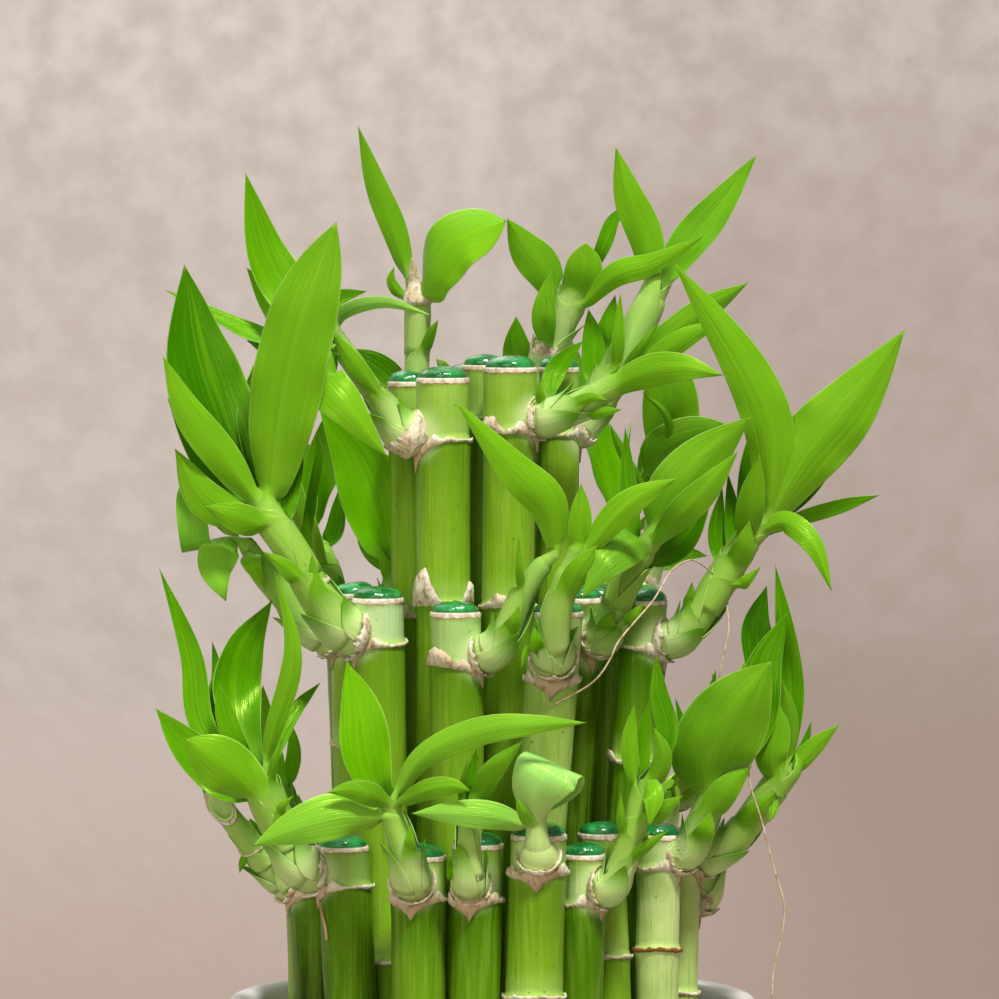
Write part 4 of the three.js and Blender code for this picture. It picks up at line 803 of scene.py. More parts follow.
def shoot_foot(name):
    """Where the stem leaves the cane: how far along it, its compass side and the V's depth."""
    if name not in STEMS:
        return None
    stem = STEMS[name]
    top, lean, upper, _, rings = cane_frame(name)
    for step in range(FOOT_STEPS):
        leaving = stem.length * step / (2 * FOOT_STEPS)
        place = stem.at(leaving)[0]
        if (place - top - lean * (place.z - top.z)).xy.length > upper - 0.6:
            break
    place = stem.at(leaving + 2)[0]
    away = (place - top - lean * (place.z - top.z)).xy
    low_side = stem.angle(leaving, -UP)
    lowest = min((stem.at(mm)[0] + stem.outward(mm, low_side) * stem.radius(mm)).z
                 for mm in (leaving, leaving + 1, leaving + 2, leaving + 3))
    depth = min(max(rings[0] - lowest + 0.5, SHALLOWEST_V), DEEPEST_V)
    return leaving, math.atan2(away.y, away.x), depth


FEET = {name: shoot_foot(name) for name in CANES}
for name, foot in FEET.items():
    print(name, "bare" if foot is None else [round(value, 1) for value in foot])

# %% [markdown]
# ## The skin of a cane
# Above a ring the cane is pale, almost white just over the line. Below it a painted shade, the
# shadow of the shoot above, starts deep and clears downwards. Fine streaks run up and down, the
# cut edge is dry and fibrous, and some canes have a frosted bloom that also carries a painted
# sheen. Each cane's tone is partly its own green and partly painted light and shade. It could be
# painted by hand on an unwrapped mesh. Marks for the distance to the rings and to the cut are
# enough for nodes to lay all of it on thirty-seven canes.


# %% The finish of the canes
def cane_skin():
    skin = Finish("cane_skin", 0.3, Specular_IOR_Level=0.4, Specular_Tint=paint("#D2E87C"))
    over, under, cut = skin.mark("over"), skin.mark("under"), skin.mark("cut")
    shade, halo = skin.mark("shade"), skin.mark("halo")
    streaks = skin.noise(1, (620, 620, 40), 5)
    lines = skin.noise(1, (1500, 1500, 60), 3)
    clouds = skin.noise(60, detail=4)
    # Each cane's tone is partly its own green and partly painted light and shade; past 1 it is painted
    # shade, for canes that stand in the leaves' shadow.
    pale = skin.mix(skin.between(shade, 0, 0.25), "#D0E294", "#8DBA2A")
    green = skin.mix(skin.between(shade, 0.15, 1), pale, "#558504")
    green = skin.mix(skin.between(shade, 1, 1.8), green, "#223602")
    # Painted shade below each ring: the shadow of the shoot above, deep under the ring and clearing
    # downwards, stronger on darker canes.
    painted_shade_below_ring = skin.between(under, 1, 26, 1, 0)
    painted_shade_below_ring = skin.sum("MULTIPLY", painted_shade_below_ring, skin.between(shade, 0, 0.8, 0.12, 0.85))
    green = skin.mix(painted_shade_below_ring, green, "#3A6C02")
    green = skin.mix(skin.between(streaks, 0.42, 0.66, 0, 0.2), green, "#A6CC44")
    green = skin.mix(skin.between(lines, 0.56, 0.7, 0, 0.36), green, "#568A08")
    green = skin.mix(skin.between(clouds, 0.46, 0.66, 0, 0.45), green, "#6A941A")
    green = skin.mix(skin.between(over, 0, 7, 0.4, 0), green, "#B8DA74")
    green = skin.mix(skin.between(cut, 0, 12, 0.3, 0), green, "#B2D868")
    # Frosted skin above the upper ring, partly its own waxy pale and partly painted sheen.
    green = skin.mix(skin.mark("frost_and_sheen"), green, "#CDE9B0")
    green = skin.mix(skin.between(halo, 0.1, 0.9, 0, 0.75), green, "#CBE39A")
    specks = skin.between(skin.noise(800, detail=1), 0.74, 0.77, 0, 0.6)
    green = skin.mix(specks, green, "#4E5F14")
    wander = skin.sum("MULTIPLY", skin.sum("SUBTRACT", skin.noise(600, detail=3), 0.5), 1.3)
    level = skin.sum("ADD", cut, wander)
    green = skin.mix(skin.between(level, 1.15, 1.4, 0.7, 0), green, "#A9703A")
    fibre = skin.mix(skin.between(skin.noise(1, (900, 900, 500), 4), 0.4, 0.66), "#EDE2D0", "#CDB699")
    skin.colour(skin.mix(skin.between(level, 0.9, 1.05, 1, 0), green, fibre))
    skin.bump(skin.sum("ADD", lines, skin.sum("MULTIPLY", clouds, 0.5)), 0.0002)
    return skin


CANE_SKIN = cane_skin()
print("finish:", CANE_SKIN.material.name)

# %% [markdown]
# ## The canes
# A cane is a nearly straight stick with a raised ring at each node. A cylinder with tori would do
# from far away, but a real ring swells softly from below, has a thin lip, and dips under the
# shoot that grows above it. So each cane is skinned over rows of points, packed tightly at the
# rings, whose heights follow that dip.

# %% Measure a cane's surface
FAR_RING = 40
SMOOTH_TOP = 2.5
# How frosted each cane is above its upper ring: partly its own waxy pale, partly painted sheen.
LITTLE_FROST_AND_SHEEN = 0.05
FROST_AND_SHEEN = {"top_cane_4": 0, "middle_cane_2": 0.65, "middle_cane_3": 0.3, "middle_cane_4": 0.3}


def ring_dip(name, angle, index):
    """How far a ring drops at a compass angle; only the first one passes under the shoot."""
    foot = FEET[name]
    wobble = 0.3 * math.sin(2 * angle + len(name) + index)
    if foot is None or index > 0:
        return wobble
    apart = (angle - foot[1] + math.pi) % (2 * math.pi) - math.pi
    return wobble - foot[2] * hump(apart, 0.72)


def stick_radius(height, rings, upper, lower):
    """The radius at a height, with its swelling, lip and groove at each ring."""
    radius = lower + (upper - lower) * ease(rings[0] - 3, rings[0] + 1, height)
    for ring in rings:
        h = height - ring
        radius += 0.3 * hump(h, 2.4) + 0.3 * hump(h, 0.5) - 0.22 * hump(h - 1.4, 0.8)
    return radius


def stick_height(name, height, angle, rings):
    """The height of a row's point, once the nearest ring's dip has pulled it along."""
    index = min(range(len(rings)), key=lambda i: abs(height - rings[i]))
    return height + ring_dip(name, angle, index) * hump(height - rings[index], 8)


def stick_marks(name, height, z, point, rings, top, shade):
    """What the finish reads at a point: rings, cut, tone with painted light and shade, the shoot's pale
    halo, and frosting with painted sheen.
    """
    over = [height - ring for ring in rings if height >= ring]
    under = [ring - height for ring in rings if height < ring]
    halo = 0
    if FEET[name]:
        halo = hump((point - STEMS[name].at(FEET[name][0])[0]).length - 3, 3)
    return {"over": min(over, default=FAR_RING), "under": min(under, default=FAR_RING),
            "cut": max(0, top.z - z), "shade": shade, "halo": halo,
            "frost_and_sheen": FROST_AND_SHEEN.get(name, LITTLE_FROST_AND_SHEEN) * ease(rings[0], rings[0] + 2, height)}


def uneven(angle, z, phase):
    """How far a cane's surface wanders in and out: a fine and a broad unevenness."""
    out = around(angle)
    fine = 0.14 * noise.noise(out + Vector((0, 0, z / 14 + phase)))
    return fine, 0.22 * noise.noise(out * 0.5 + Vector((phase, 0, z / 40)))


print("canes with their own frost:", len(FROST_AND_SHEEN))

# %% Shape the canes
CANE_SIDES = 30
CANE_STEP = 4
RING_ROWS = (-6, -4, -2.6, -1.6, -0.9, -0.45, -0.05, 0.05, 0.4, 0.8, 1.3, 2, 3, 4.4)
CUT_ROWS = (0.1, 0.4, 0.75, 1.0, 1.25, 2.2, 3.5)
CUT_FACE = ((0.97, 0.02), (0.9, -0.05))


def shape_cane(name):
    top, lean, upper, lower, rings = cane_frame(name)
    heights = {CANE_FOOT} | {top.z - cut for cut in CUT_ROWS}
    heights.update(ring + step for ring in rings for step in RING_ROWS)
    steps = int((top.z - 5 - CANE_FOOT) / CANE_STEP)
    heights.update(CANE_FOOT + CANE_STEP * i for i in range(1, steps))
    heights = sorted(h for h in heights if CANE_FOOT <= h < top.z)
    shape, rows, shade, phase = Shape(), [], CANES[name][-1], chance.random() * 50
    for height in heights:
        row = []
        for i in range(CANE_SIDES):
            angle = 2 * math.pi * i / CANE_SIDES
            level = height if top.z - height < SMOOTH_TOP else top.z - SMOOTH_TOP
            z = min(stick_height(name, height, angle, rings), level)
            radius = stick_radius(height, rings, upper, lower)
            for wander in uneven(angle, z, phase):
                radius += wander
            rough = noise.noise(around(angle) * 2 + Vector((0, phase, z * 0.5)))
            radius += (0.1 + 0.16 * rough) * ease(1.25, 1.0, top.z - height)
            point = top + lean * (z - top.z) + around(angle) * radius
            row.append(shape.add(point, **stick_marks(name, height, z, point, rings, top, shade)))
        rows.append(row)
    ends = {"over": FAR_RING, "under": FAR_RING, "shade": shade, "halo": 0, "frost_and_sheen": 0}
    for share, drop in CUT_FACE:
        edge = [around(2 * math.pi * i / CANE_SIDES) * upper * share for i in range(CANE_SIDES)]
        rows.append([shape.add(top + out + UP * drop, cut=0, **ends) for out in edge])
    shape.skin(rows)
    shape.lid(rows[0], shape.add(top + lean * (CANE_FOOT - top.z), cut=90, **ends), under=True)
    shape.lid(rows[-1], shape.add(top - UP * 0.1, cut=0, **ends))
    return shape.finish(f"{name}_stick", CANE_SKIN, "cane", name)


sticks = [shape_cane(name) for name in CANES]
print("canes made:", len(sticks))

# %% [markdown]
# ## The wax seals
# Growers dip each cut end in green wax so that it doesn't dry out. The drop is dark, very shiny
# and a little uneven. A flattened sphere would be too perfect, so the dome's rim wanders in and
# out, and a clear coat gives the sharp white reflections.

# %% Make the wax seals
WAX_HEIGHT = 2.4
WAX_SHARE = 0.94
WAX_PROFILE = [(0.94, -0.3), (0.985, 0.1), (1.0, 0.5), (0.97, 0.95), (0.9, 1.35), (0.78, 1.75),
               (0.6, 2.05), (0.4, 2.25), (0.2, 2.36)]
WAX_SIDES = 30
WAX_SUNK = 0.35
wax = Finish("sealing_wax", 0.24, Coat_Weight=0.5, Coat_Roughness=0.12, Subsurface_Weight=0.1,
             Subsurface_Scale=0.001)
wax.colour(wax.mix(wax.between(wax.noise(260), 0.35, 0.65), "#0A6A2A", "#2E9C4C"))
wax.bump(wax.noise(380, detail=2), 0.0009)


def seal(name):
    top, _, upper, _, _ = cane_frame(name)
    shape, rows = Shape(), []
    phase = chance.random() * 90
    for share, height in WAX_PROFILE:
        row = []
        for i in range(WAX_SIDES):
            out = around(2 * math.pi * i / WAX_SIDES)
            wander = 1 + 0.05 * noise.noise(out * 1.3 + Vector((phase, 0, height * 0.2)))
            lump = 1 + 0.2 * noise.noise(out * 0.8 * share + Vector((0, phase, 0)))
            row.append(shape.add(top + out * upper * WAX_SHARE * share * wander + UP * height * lump))
        rows.append(row)
    shape.skin(rows)
    shape.lid(rows[0], shape.add(top - UP * WAX_SUNK), under=True)
    shape.lid(rows[-1], shape.add(top + UP * WAX_HEIGHT))
    return shape.finish(f"{name}_wax", wax, "wax", name)


seals = [seal(name) for name in CANES]
print("wax seals:", len(seals))

# %% [markdown]
# ## The green of stems and leaves
# Stem, sheath and blade are one tissue that changes as it grows: white-green at the foot, fresh
# along the stem, deep and glossy on a blade's upper face, lighter and duller underneath. Many
# fine veins run from base to tip. The marks give the place across and along each part, so the
# veins follow every bend.


# %% The finishes of stems and leaves
def green_skin(name, roughness):
    skin = Finish(name, roughness, Specular_IOR_Level=0.5, Specular_Tint=paint("#CCEC58"),
                  Subsurface_Weight=0.08, Subsurface_Scale=0.0015, Subsurface_Radius=(0.5, 1.0, 0.1))
    marks = ("across", "way", "under", "mood", "pale")
    across, way, under, mood, pale = (skin.mark(name) for name in marks)
    green = skin.mix(mood, "#2B6E00", "#6BB404")
    seed = skin.sum("MULTIPLY", mood, 40)
    lanes = skin.noise(1, (7, 1.1, 1), 4, skin.place(across, way, seed))
    fine = skin.noise(1, (34, 1.5, 1), 2, skin.place(across, way, seed))
    green = skin.mix(skin.between(lanes, 0.36, 0.68, 0, 0.26), green, "#357600")
    green = skin.mix(skin.between(fine, 0.45, 0.7, 0, 0.14), green, "#8ACC14")
    off_rib = skin.sum("ABSOLUTE", across, 0)
    green = skin.mix(skin.between(off_rib, 0.01, 0.07, 0.12, 0), green, "#93CC22")
    green = skin.mix(skin.sum("MULTIPLY", under, 0.35), green, "#8CC62C")
    green = skin.mix(skin.between(way, -0.1, 0.3, 0.5, 0), green, "#9AD038")
    # The foot's own white-green, and on the blade the colour of the painted sheen.
    pale_foot_and_sheen = skin.mix(skin.between(way, 0.1, 0.35), "#CDE394", "#B2EC84")
    green = skin.mix(skin.sum("MULTIPLY", pale, 0.85), green, pale_foot_and_sheen)
    green = skin.mix(skin.between(off_rib, 0.95, 0.995, 0, 0.42), green, "#C4E480")
    green = skin.mix(skin.between(way, 0.975, 1.0, 0, 0.5), green, "#B89C48")
    # Painted sheen: broad lighter patches along each blade stand in for the light on its gloss.
    painted_sheen_patches = skin.noise(1, (2.2, 1.6, 1), 2, skin.place(across, way, seed))
    green = skin.mix(skin.between(painted_sheen_patches, 0.5, 0.72, 0, 0.25), green, "#86C410")
    skin.colour(green)
    sheen = skin.between(lanes, 0.3, 0.7, roughness - 0.05, roughness + 0.1)
    skin.feed(skin.shader.inputs["Roughness"], sheen)
    skin.bump(skin.sum("ADD", fine, skin.sum("MULTIPLY", lanes, 2)), 0.00008)
    return skin


LEAF_SKIN = green_skin("leaf_skin", 0.24)
STEM_SKIN = green_skin("stem_skin", 0.33)
print("finishes:", LEAF_SKIN.material.name, STEM_SKIN.material.name)

# %% [markdown]
# ## The stems
# A stem is hardly seen under the sheaths of its leaves, except for its round, pale foot. So it is
# one smooth tube: rounded where it sits on the cane, a little swollen above, and drawn to a point
# inside the top leaves. One stem was cut off and has dried, so its end is slanting and hollow.
# Marks on a stem say how far up it is, so the foot can be pale.

# %% Shape the stems
STEM_SIDES = 24
STEM_STEP = 1.1
CUT_SLANT = 1.4
HOLLOW = ((0.3, 0.92), (0, 0.76), (-3, 0.7))
HOLLOW_PALE = 0.9
PALE_REACH = 15
LITTLE_PALE = 0.2
# How pale each stem stays, partly its own white-green and partly painted light: the stub on low_cane_1
# lies in the leaves' shade and is painted paler.
PALE_STEMS = {"top_cane_1": 0.6, "top_cane_6": 0.45, "top_cane_5": 0.4, "top_cane_2": 0.4,
              "top_cane_4": 0.3, "middle_cane_4": 0.3, "middle_cane_3": 0.3, "low_cane_1": 0.4}


def paleness(name, mm):
    """How pale a shoot is at a distance along its stem: 1 at the foot, fading upwards."""
    least = PALE_STEMS.get(name, LITTLE_PALE)
    return least + (1 - least) * ease(PALE_REACH, 0, mm - FEET[name][0])


def shape_stem(name):
    stem, shape, rows = STEMS[name], Shape(), []
    steps = max(8, round(stem.length / STEM_STEP))
    levels = [(stem.length * k / steps, 1) for k in range(steps + 1)]
    if stem.blunt:
        levels += [(stem.length + rise, share) for rise, share in HOLLOW]
    marks = {"across": 0.5, "way": 0.1, "under": 0.6, "mood": 0.35 + 0.5 * chance.random()}
    for mm, share in levels:
        place, way, _ = stem.at(mm)
        pale, row = paleness(name, mm) if share == 1 else HOLLOW_PALE, []
        slant = CUT_SLANT * ease(stem.length - 5, stem.length, mm) if stem.blunt else 0
        for i in range(STEM_SIDES):
            out = stem.outward(mm, 2 * math.pi * i / STEM_SIDES) * stem.radius(mm) * share
            point = place + out - way * (slant * out.dot(TOWARDS_EYE))
            row.append(shape.add(point, pale=pale, **marks))
        rows.append(row)
    shape.skin(rows)
    shape.lid(rows[0], shape.add(stem.at(0)[0], pale=1, **marks), under=True)
    end = stem.length - 3.2 if stem.blunt else stem.length + 0.6
    shape.lid(rows[-1], shape.add(stem.at(end)[0], pale=0, **marks))
    return shape.finish(f"{name}_shoot", STEM_SKIN, "shoot", name)


shoots = [shape_stem(name) for name in STEMS]
print("stems:", len(shoots))

# %% [markdown]
# ## How a leaf grips its stem
# A leaf of this plant has no stalk. Its foot is a sheath that wraps right round the stem, and the
# wrapping opens as it turns into the blade. A flat blade stuck on a tube shows this at once as
# false. So each leaf here starts as rows on the stem's own surface, and its rows move over,
# little by little, to the blade's own line.

# %% Close two sheets into one blade
HALF_COLUMNS = (0.16, 0.33, 0.5, 0.66, 0.82, 0.95, 1)
LEAF_COLUMNS = (*[-column for column in reversed(HALF_COLUMNS)], 0, *HALF_COLUMNS)


def two_sheets(shape, front, back, tip):
    """Joins a front and a back sheet of rows along their edges and at the tip."""
    last = len(LEAF_COLUMNS) - 1
    for low, high, low_back, high_back in zip(front, front[1:], back, back[1:]):
        for i in range(last):
            shape.faces.append((low[i], high[i], high[i + 1], low[i + 1]))
            shape.faces.append((low_back[i], low_back[i + 1], high_back[i + 1], high_back[i]))
        shape.faces.append((low[0], low_back[0], high_back[0], high[0]))
        shape.faces.append((low[last], high[last], high_back[last], low_back[last]))
    for i in range(last):
        shape.faces.append((front[0][i], front[0][i + 1], back[0][i + 1], back[0][i]))
        shape.faces.append((front[-1][i], tip, front[-1][i + 1]))
        shape.faces.append((back[-1][i], back[-1][i + 1], tip))
    shape.faces.append((front[-1][0], back[-1][0], tip))
    shape.faces.append((front[-1][last], tip, back[-1][last]))


print("points across a leaf:", len(LEAF_COLUMNS))

# %% Shape one leaf
LEAF_THICKNESS = 0.42
LEAF_CUP = 0.2
LEAF_KEEL = 0.5
LEAF_TWIST = 0.35
LEAF_ROWS = 22
LAST_ROW = 0.97
EDGE_WAVE = 0.07
WAVE_LENGTH = 15
WAVE_TURN = 6.3
SHEATH_ROWS = 6
SHEATH_LENGTH = 9
SHEATH_THICKNESS = 0.14
SHEATH_CLOSING = 1.1
SHEATH_FADE = 0.3
OPEN_WRAP, CLOSED_WRAP = 1.9, 3.05
CLEAR_OF_STEM = 0.04
LONGEST_CLIMB = 10


class Leaf:
    """One leaf with its sheath: where it leaves the stem, and how it turns into its blade."""

    def __init__(self, name, blade, facing, tuck, look):
        self.name, self.stem, self.facing = name, STEMS[name], facing
        width, roll, self.points = blade
        self.mood, self.shoulder, self.bloom, self.side, waist = look
        self.length = line_length(self.points)
        self.half = width / 2 / math.cos(math.radians(roll))
        self.roll = math.radians(roll)
        self.start = self.stem.nearest(self.points[0])
        place, way, _ = self.stem.at(self.start)
        away = along(self.points, 0.35)[0] - self.points[0]
        away = away - way * away.dot(way)
        if away.length < 0.12 * self.length:
            away = self.points[0] - place + away
        self.angle = self.stem.angle(self.start, away)
        self.seen_under = 1 if self.stem.outward(self.start, self.angle).dot(facing) > 0 else -1
        slim = ease(self.stem.length - 9, self.stem.length, self.start)
        self.reach = self.stem.bare(self.start) * (1 - 0.35 * slim)
        self.wrap = min(OPEN_WRAP, (1.3 * self.half + 1.6) / self.reach)
        self.sheath = min(SHEATH_LENGTH, 0.6 * self.length, 0.8 * self.start + 0.5)
        self.loose = 0.06 + 0.045 * tuck
        short = ease(20, 9, self.length)
        self.waist, self.widest = waist or 0.25 + 0.6 * short, 0.44 - 0.26 * short
        self.phase = chance.random() * WAVE_TURN
        self.twist = LEAF_TWIST * (chance.random() - 0.5)
        self.waves = max(1, self.length / WAVE_LENGTH)
        self.free, self.climb = self.leaving()

    def leaving(self):
        """The share of the blade's line that clings to the stem, and how far up the stem that is."""
        place, way, _ = self.stem.at(self.start)
        for step in range(1, 19):
            share = 0.025 * step
            point = along(self.points, share)[0]
            climb = (point - place).dot(way)
            gap = (point - self.stem.at(self.start + climb)[0]).length
            past_tip = self.start + climb > self.stem.length + 3
            if share * self.length > 3 and (gap > self.reach + 0.4 or past_tip):
                break
        return share, min(max(climb, 0.5), LONGEST_CLIMB)

    def breadth(self, share):
        """Half the leaf's width at a share of its length."""
        if share < self.widest:
            swelling = math.sin(math.pi / 2 * share / self.widest)
            return self.half * (self.waist + (1 - self.waist) * swelling)
        past = (share - self.widest) / (1 - self.widest)
        return self.half * (1 - past ** self.shoulder) ** 1.18

    def on_stem(self, mm, column, wrap, extra, sheet):
        """A point of the sheath, wrapped round the stem."""
        angle = self.angle - self.seen_under * column * wrap
        thin = SHEATH_THICKNESS * (0.5 - sheet) * self.seen_under
        reach = self.reach
        if mm <= self.start:
            reach = self.stem.bare(mm) + self.reach - self.stem.bare(self.start)
        return self.stem.at(mm)[0] + self.stem.outward(mm, angle) * (reach + extra + thin)

    def on_blade(self, share, column, sheet):
        """A point of the free blade."""
        place, towards = along(self.points, share)
        if self.side:
            side = (self.side - towards * self.side.dot(towards)).normalized()
            face = towards.cross(side)
        else:
            face = (self.facing - towards * self.facing.dot(towards)).normalized()
            side = face.cross(towards)
        spin = Quaternion(towards, self.roll + self.twist * (share - 0.5))
        side, normal = spin @ side, spin @ face
        breadth = self.breadth(share)
        keel = LEAF_CUP + LEAF_KEEL * hump(share, 0.22)
        lift = -self.seen_under * breadth * keel * (abs(column) ** 1.5 - 0.3)
        swing = self.waves * WAVE_TURN * share + self.phase + 2 * (column > 0)
        wave = EDGE_WAVE * self.half * math.sin(swing)
        lift += wave * column ** 2 * math.sin(math.pi * share)
        thin = LEAF_THICKNESS * (0.5 - sheet) * (1 - 0.7 * abs(column))
        return place + side * breadth * column + normal * (lift + thin)

    def kept_out(self, point, extra):
        """Moves a point that lies inside the stem out to the stem's skin."""
        place, way, _ = self.stem.at(self.start)
        mm = self.start + (point - place).dot(way)
        middle = self.stem.at(mm)[0]
        least = (self.reach + extra) * ease(self.stem.length + 4, self.stem.length, mm)
        away = point - middle
        if away.length >= least or away.length < 0.01:
            return point
        return middle + away * (least / away.length)

    def row(self, shape, v, sheet):
        """One row of points; v runs from -1 at the sheath's foot, over 0, to 1 at the tip."""
        row, under = [], 0.5 + (0.5 - sheet) * self.seen_under
        for column in LEAF_COLUMNS:
            if v <= 0:
                mm, opened = self.start + v * self.sheath, 0
                wrap = min(self.wrap - SHEATH_CLOSING * v, CLOSED_WRAP)
                extra = CLEAR_OF_STEM + self.loose * (1 + v)
                point = self.on_stem(mm, column, wrap, extra, sheet)
            else:
                opened = ease(0, self.free, v)
                mm = self.start + self.climb * min(v / self.free, 1)
                wrap = self.wrap + (self.breadth(self.free) / self.reach - self.wrap) * opened
                extra = CLEAR_OF_STEM + self.loose + 0.2 * opened
                point = self.on_stem(mm, column, wrap, extra, sheet)
                point = point.lerp(self.on_blade(v, column, sheet), opened)
                if v < 2 * self.free:
                    thin = SHEATH_THICKNESS * (0.5 - sheet) * self.seen_under
                    point = self.kept_out(point, extra + thin)
            way = v if v > 0 else v * SHEATH_FADE
            # On the sheath the pale mark is the foot's own white-green; out on the blade it is painted
            # sheen.
            pale = paleness(self.name, mm) * (1 - opened) + self.bloom * opened
            row.append(shape.add(point, across=column, way=way, under=under, mood=self.mood, pale=pale))
        return row

    def build(self, shape):
        steps = [-1 + k / SHEATH_ROWS for k in range(SHEATH_ROWS)]
        steps += [LAST_ROW * (k / LEAF_ROWS) ** 1.15 for k in range(LEAF_ROWS + 1)]
        tip = shape.add(self.points[-1], across=0, way=1, under=0.5, mood=self.mood, pale=self.bloom)
        sheets = [[self.row(shape, v, sheet) for v in steps] for sheet in (0, 1)]
        two_sheets(shape, *sheets, tip)


print("points in one leaf:", 2 * len(LEAF_COLUMNS) * (SHEATH_ROWS + LEAF_ROWS + 1) + 1)

# %% [markdown]
# ## The scales at the foot
# The first leaves that a shoot makes are short scales, shaped like shields, white-green below and
# deep green at the point. They hug the foot of the stem and overlap like those of an artichoke.
# A short leaf could stand in for them, but they never leave the stem. So each one is drawn on the
# stem itself, as a shield whose point lifts off a little. A row below gives where a scale starts
# and how long it is, both in stem thicknesses, then half its spread and its turn, in radians.

# %% Grow one scale
SCALE_ROWS = 9
SCALE_THICKNESS = 0.16
SCALE_POINT_LIFT = 1.4
FRONT_SCALES = ((0.3, 1.9, 1.25, 1.45), (0.45, 2.2, 1.25, -1.45), (1.9, 2.4, 1.4, 2.8))
SIDE_SCALES = ((0.4, 2.5, 1.0, 0.6), (0.8, 2.4, 1.2, -1.3), (1.9, 2.5, 1.6, 2.6))


def grow_scale(shape, name, foot, angle, length, spread, lift=0.3, **extra):
    """A short scale; foot and length are in millimetres along the stem, angles in radians."""
    stem, mood = STEMS[name], 0.15 + 0.4 * chance.random()
    lean = 0.5 * (chance.random() - 0.5)

    def point(t, column, sheet):
        mm = foot + length * t
        turn = angle + lean * t - column * spread * (1 - t ** 1.7)
        off = lift + 0.3 * ease(0, 0.3, t) + SCALE_POINT_LIFT * t ** 3
        off += SCALE_THICKNESS * (0.5 - sheet)
        return stem.at(mm)[0] + stem.outward(mm, turn) * (stem.radius(mm) + off)

    def row(t, sheet):
        return [shape.add(point(t, column, sheet), across=column / 2, way=0.1 + 0.2 * t,
                          under=0.8, mood=mood, pale=ease(0.95, 0.2, t), **extra)
                for column in LEAF_COLUMNS]

    tip = shape.add(point(1, 0, 0.5), across=0, way=0.95, under=0.8, mood=mood, pale=0, **extra)
    steps = [0.96 * k / SCALE_ROWS for k in range(SCALE_ROWS + 1)]
    sheets = [[row(t, sheet) for t in steps] for sheet in (0, 1)]
    two_sheets(shape, *sheets, tip)


print("rows in one scale:", SCALE_ROWS + 1)

# %% [markdown]
# ## All the leaves
# Each packed leaf took the first bend that kept it clear of its neighbours. Trying the bends
# again would need the same collision test, so the fine leaf looks its tip up among the packed
# piece's points instead. No two leaves have the same green. In front, each leaf is given its own
# shade, from deep to fresh, which holds painted light and shade as well as its green; the rest
# are left to chance.

# %% Shades of the front leaves, from 0, deep, to 1, fresh, partly their own green and partly painted light and shade
SHADES = {
    "middle_cane_2": [0.5, 0.05, 0.7, 0.2, 0.6, 0.7, 0.3, 0.3, 0.4, 0.6],
    "middle_cane_1": [0.9, 0.8, 0.4, 0.3, 0.9],
    "top_cane_2": [0.7, 0.6, 1, 0.6, 0.6, 0.8, 0.7, 0.2],
    "top_cane_1": [0.35, 1, 0.3, 0.5, 0.15, 0.1],
    "top_cane_6": [0.6, 0.4, 0.6, 0.5, 0.8, 0.4, 0.3],
    "top_cane_5": [0.7, 0.8, 0.85, 0.5, 0.4, 0.8, 0.4, 0.4],
    "top_cane_4": [0.7, 0.4, 0.6, 0.6, 0.5, 0.5, 0.6],
    "middle_cane_3": [0.9, 0.5, 0.6],
    "middle_cane_4": [0.8, 0.9, 0.6, 0.7, 0.6],
    "middle_cane_5": [0.3, 0.2, 0.35, 0.3, 0.1, 0.5, 0.5],
    "middle_cane_6": [0.65, 0.55, 0.5, 0.7, 0.4, 0.2, 0.1, 0.2, 0.3, 0.3, 0.5, 0.5, 0.5],
    "low_cane_1": [0.5, 0.9],
    "low_cane_2": [0.85, 0.55, 0.5, 0.55, 0.35, 0.6, 0.3, 0.4, 0.6, 0.4],
    "low_cane_3": [0.95, 1, 1, 0.4, 0.35, 0.6],
    "low_cane_4": [0.4, 0.3, 0.2, 0.6],
    "low_cane_5": [0.9, 1, 0.8],
    "low_cane_6": [0.6, 0.25, 0.4, 0.7, 0.5, 0.4, 0.6, 0.4],
    "low_cane_8": [0.12, 0.25, 0.4, 0.6, 0.2, 0.3],
    "low_cane_9": [0.35, 0, 0.5, 0.3, 0.6, 0.4, 0.5, 0.4],
    "middle_cane_8": [0.75, 0.3, 0.5],
    "middle_cane_12": [0.6, 0, 0.1, 0.4, 0.2],
}
print("shoots with shades of their own:", len(SHADES))

# %% [markdown]
# ## Leaves with a character of their own
# Some leaves are blunt, some are slim near the foot, and some carry a pale painted sheen, the
# light on their gloss. These are given by cane and by the leaf's place in its row. Five leaves curl
# or fold right over. Left to themselves they would face the eye like the rest, so they are told
# which way their width runs.

# %% Blunt shoulders, slim waists, painted sheens, and the width's direction of leaves that fold
USUAL_SHOULDER = 2.1
SHOULDERS = {("middle_cane_2", 0): 3.6, ("middle_cane_6", 0): 2.6, ("low_cane_8", 0): 2.6,
             ("top_cane_1", 1): 5, ("low_cane_5", 0): 3.2, ("top_cane_6", 0): 4,
             ("low_cane_2", 0): 2.6, ("middle_cane_1", 4): 7}
WAISTS = {("low_cane_5", 0): 0.14, ("middle_cane_1", 0): 0.2, ("top_cane_1", 1): 0.4}
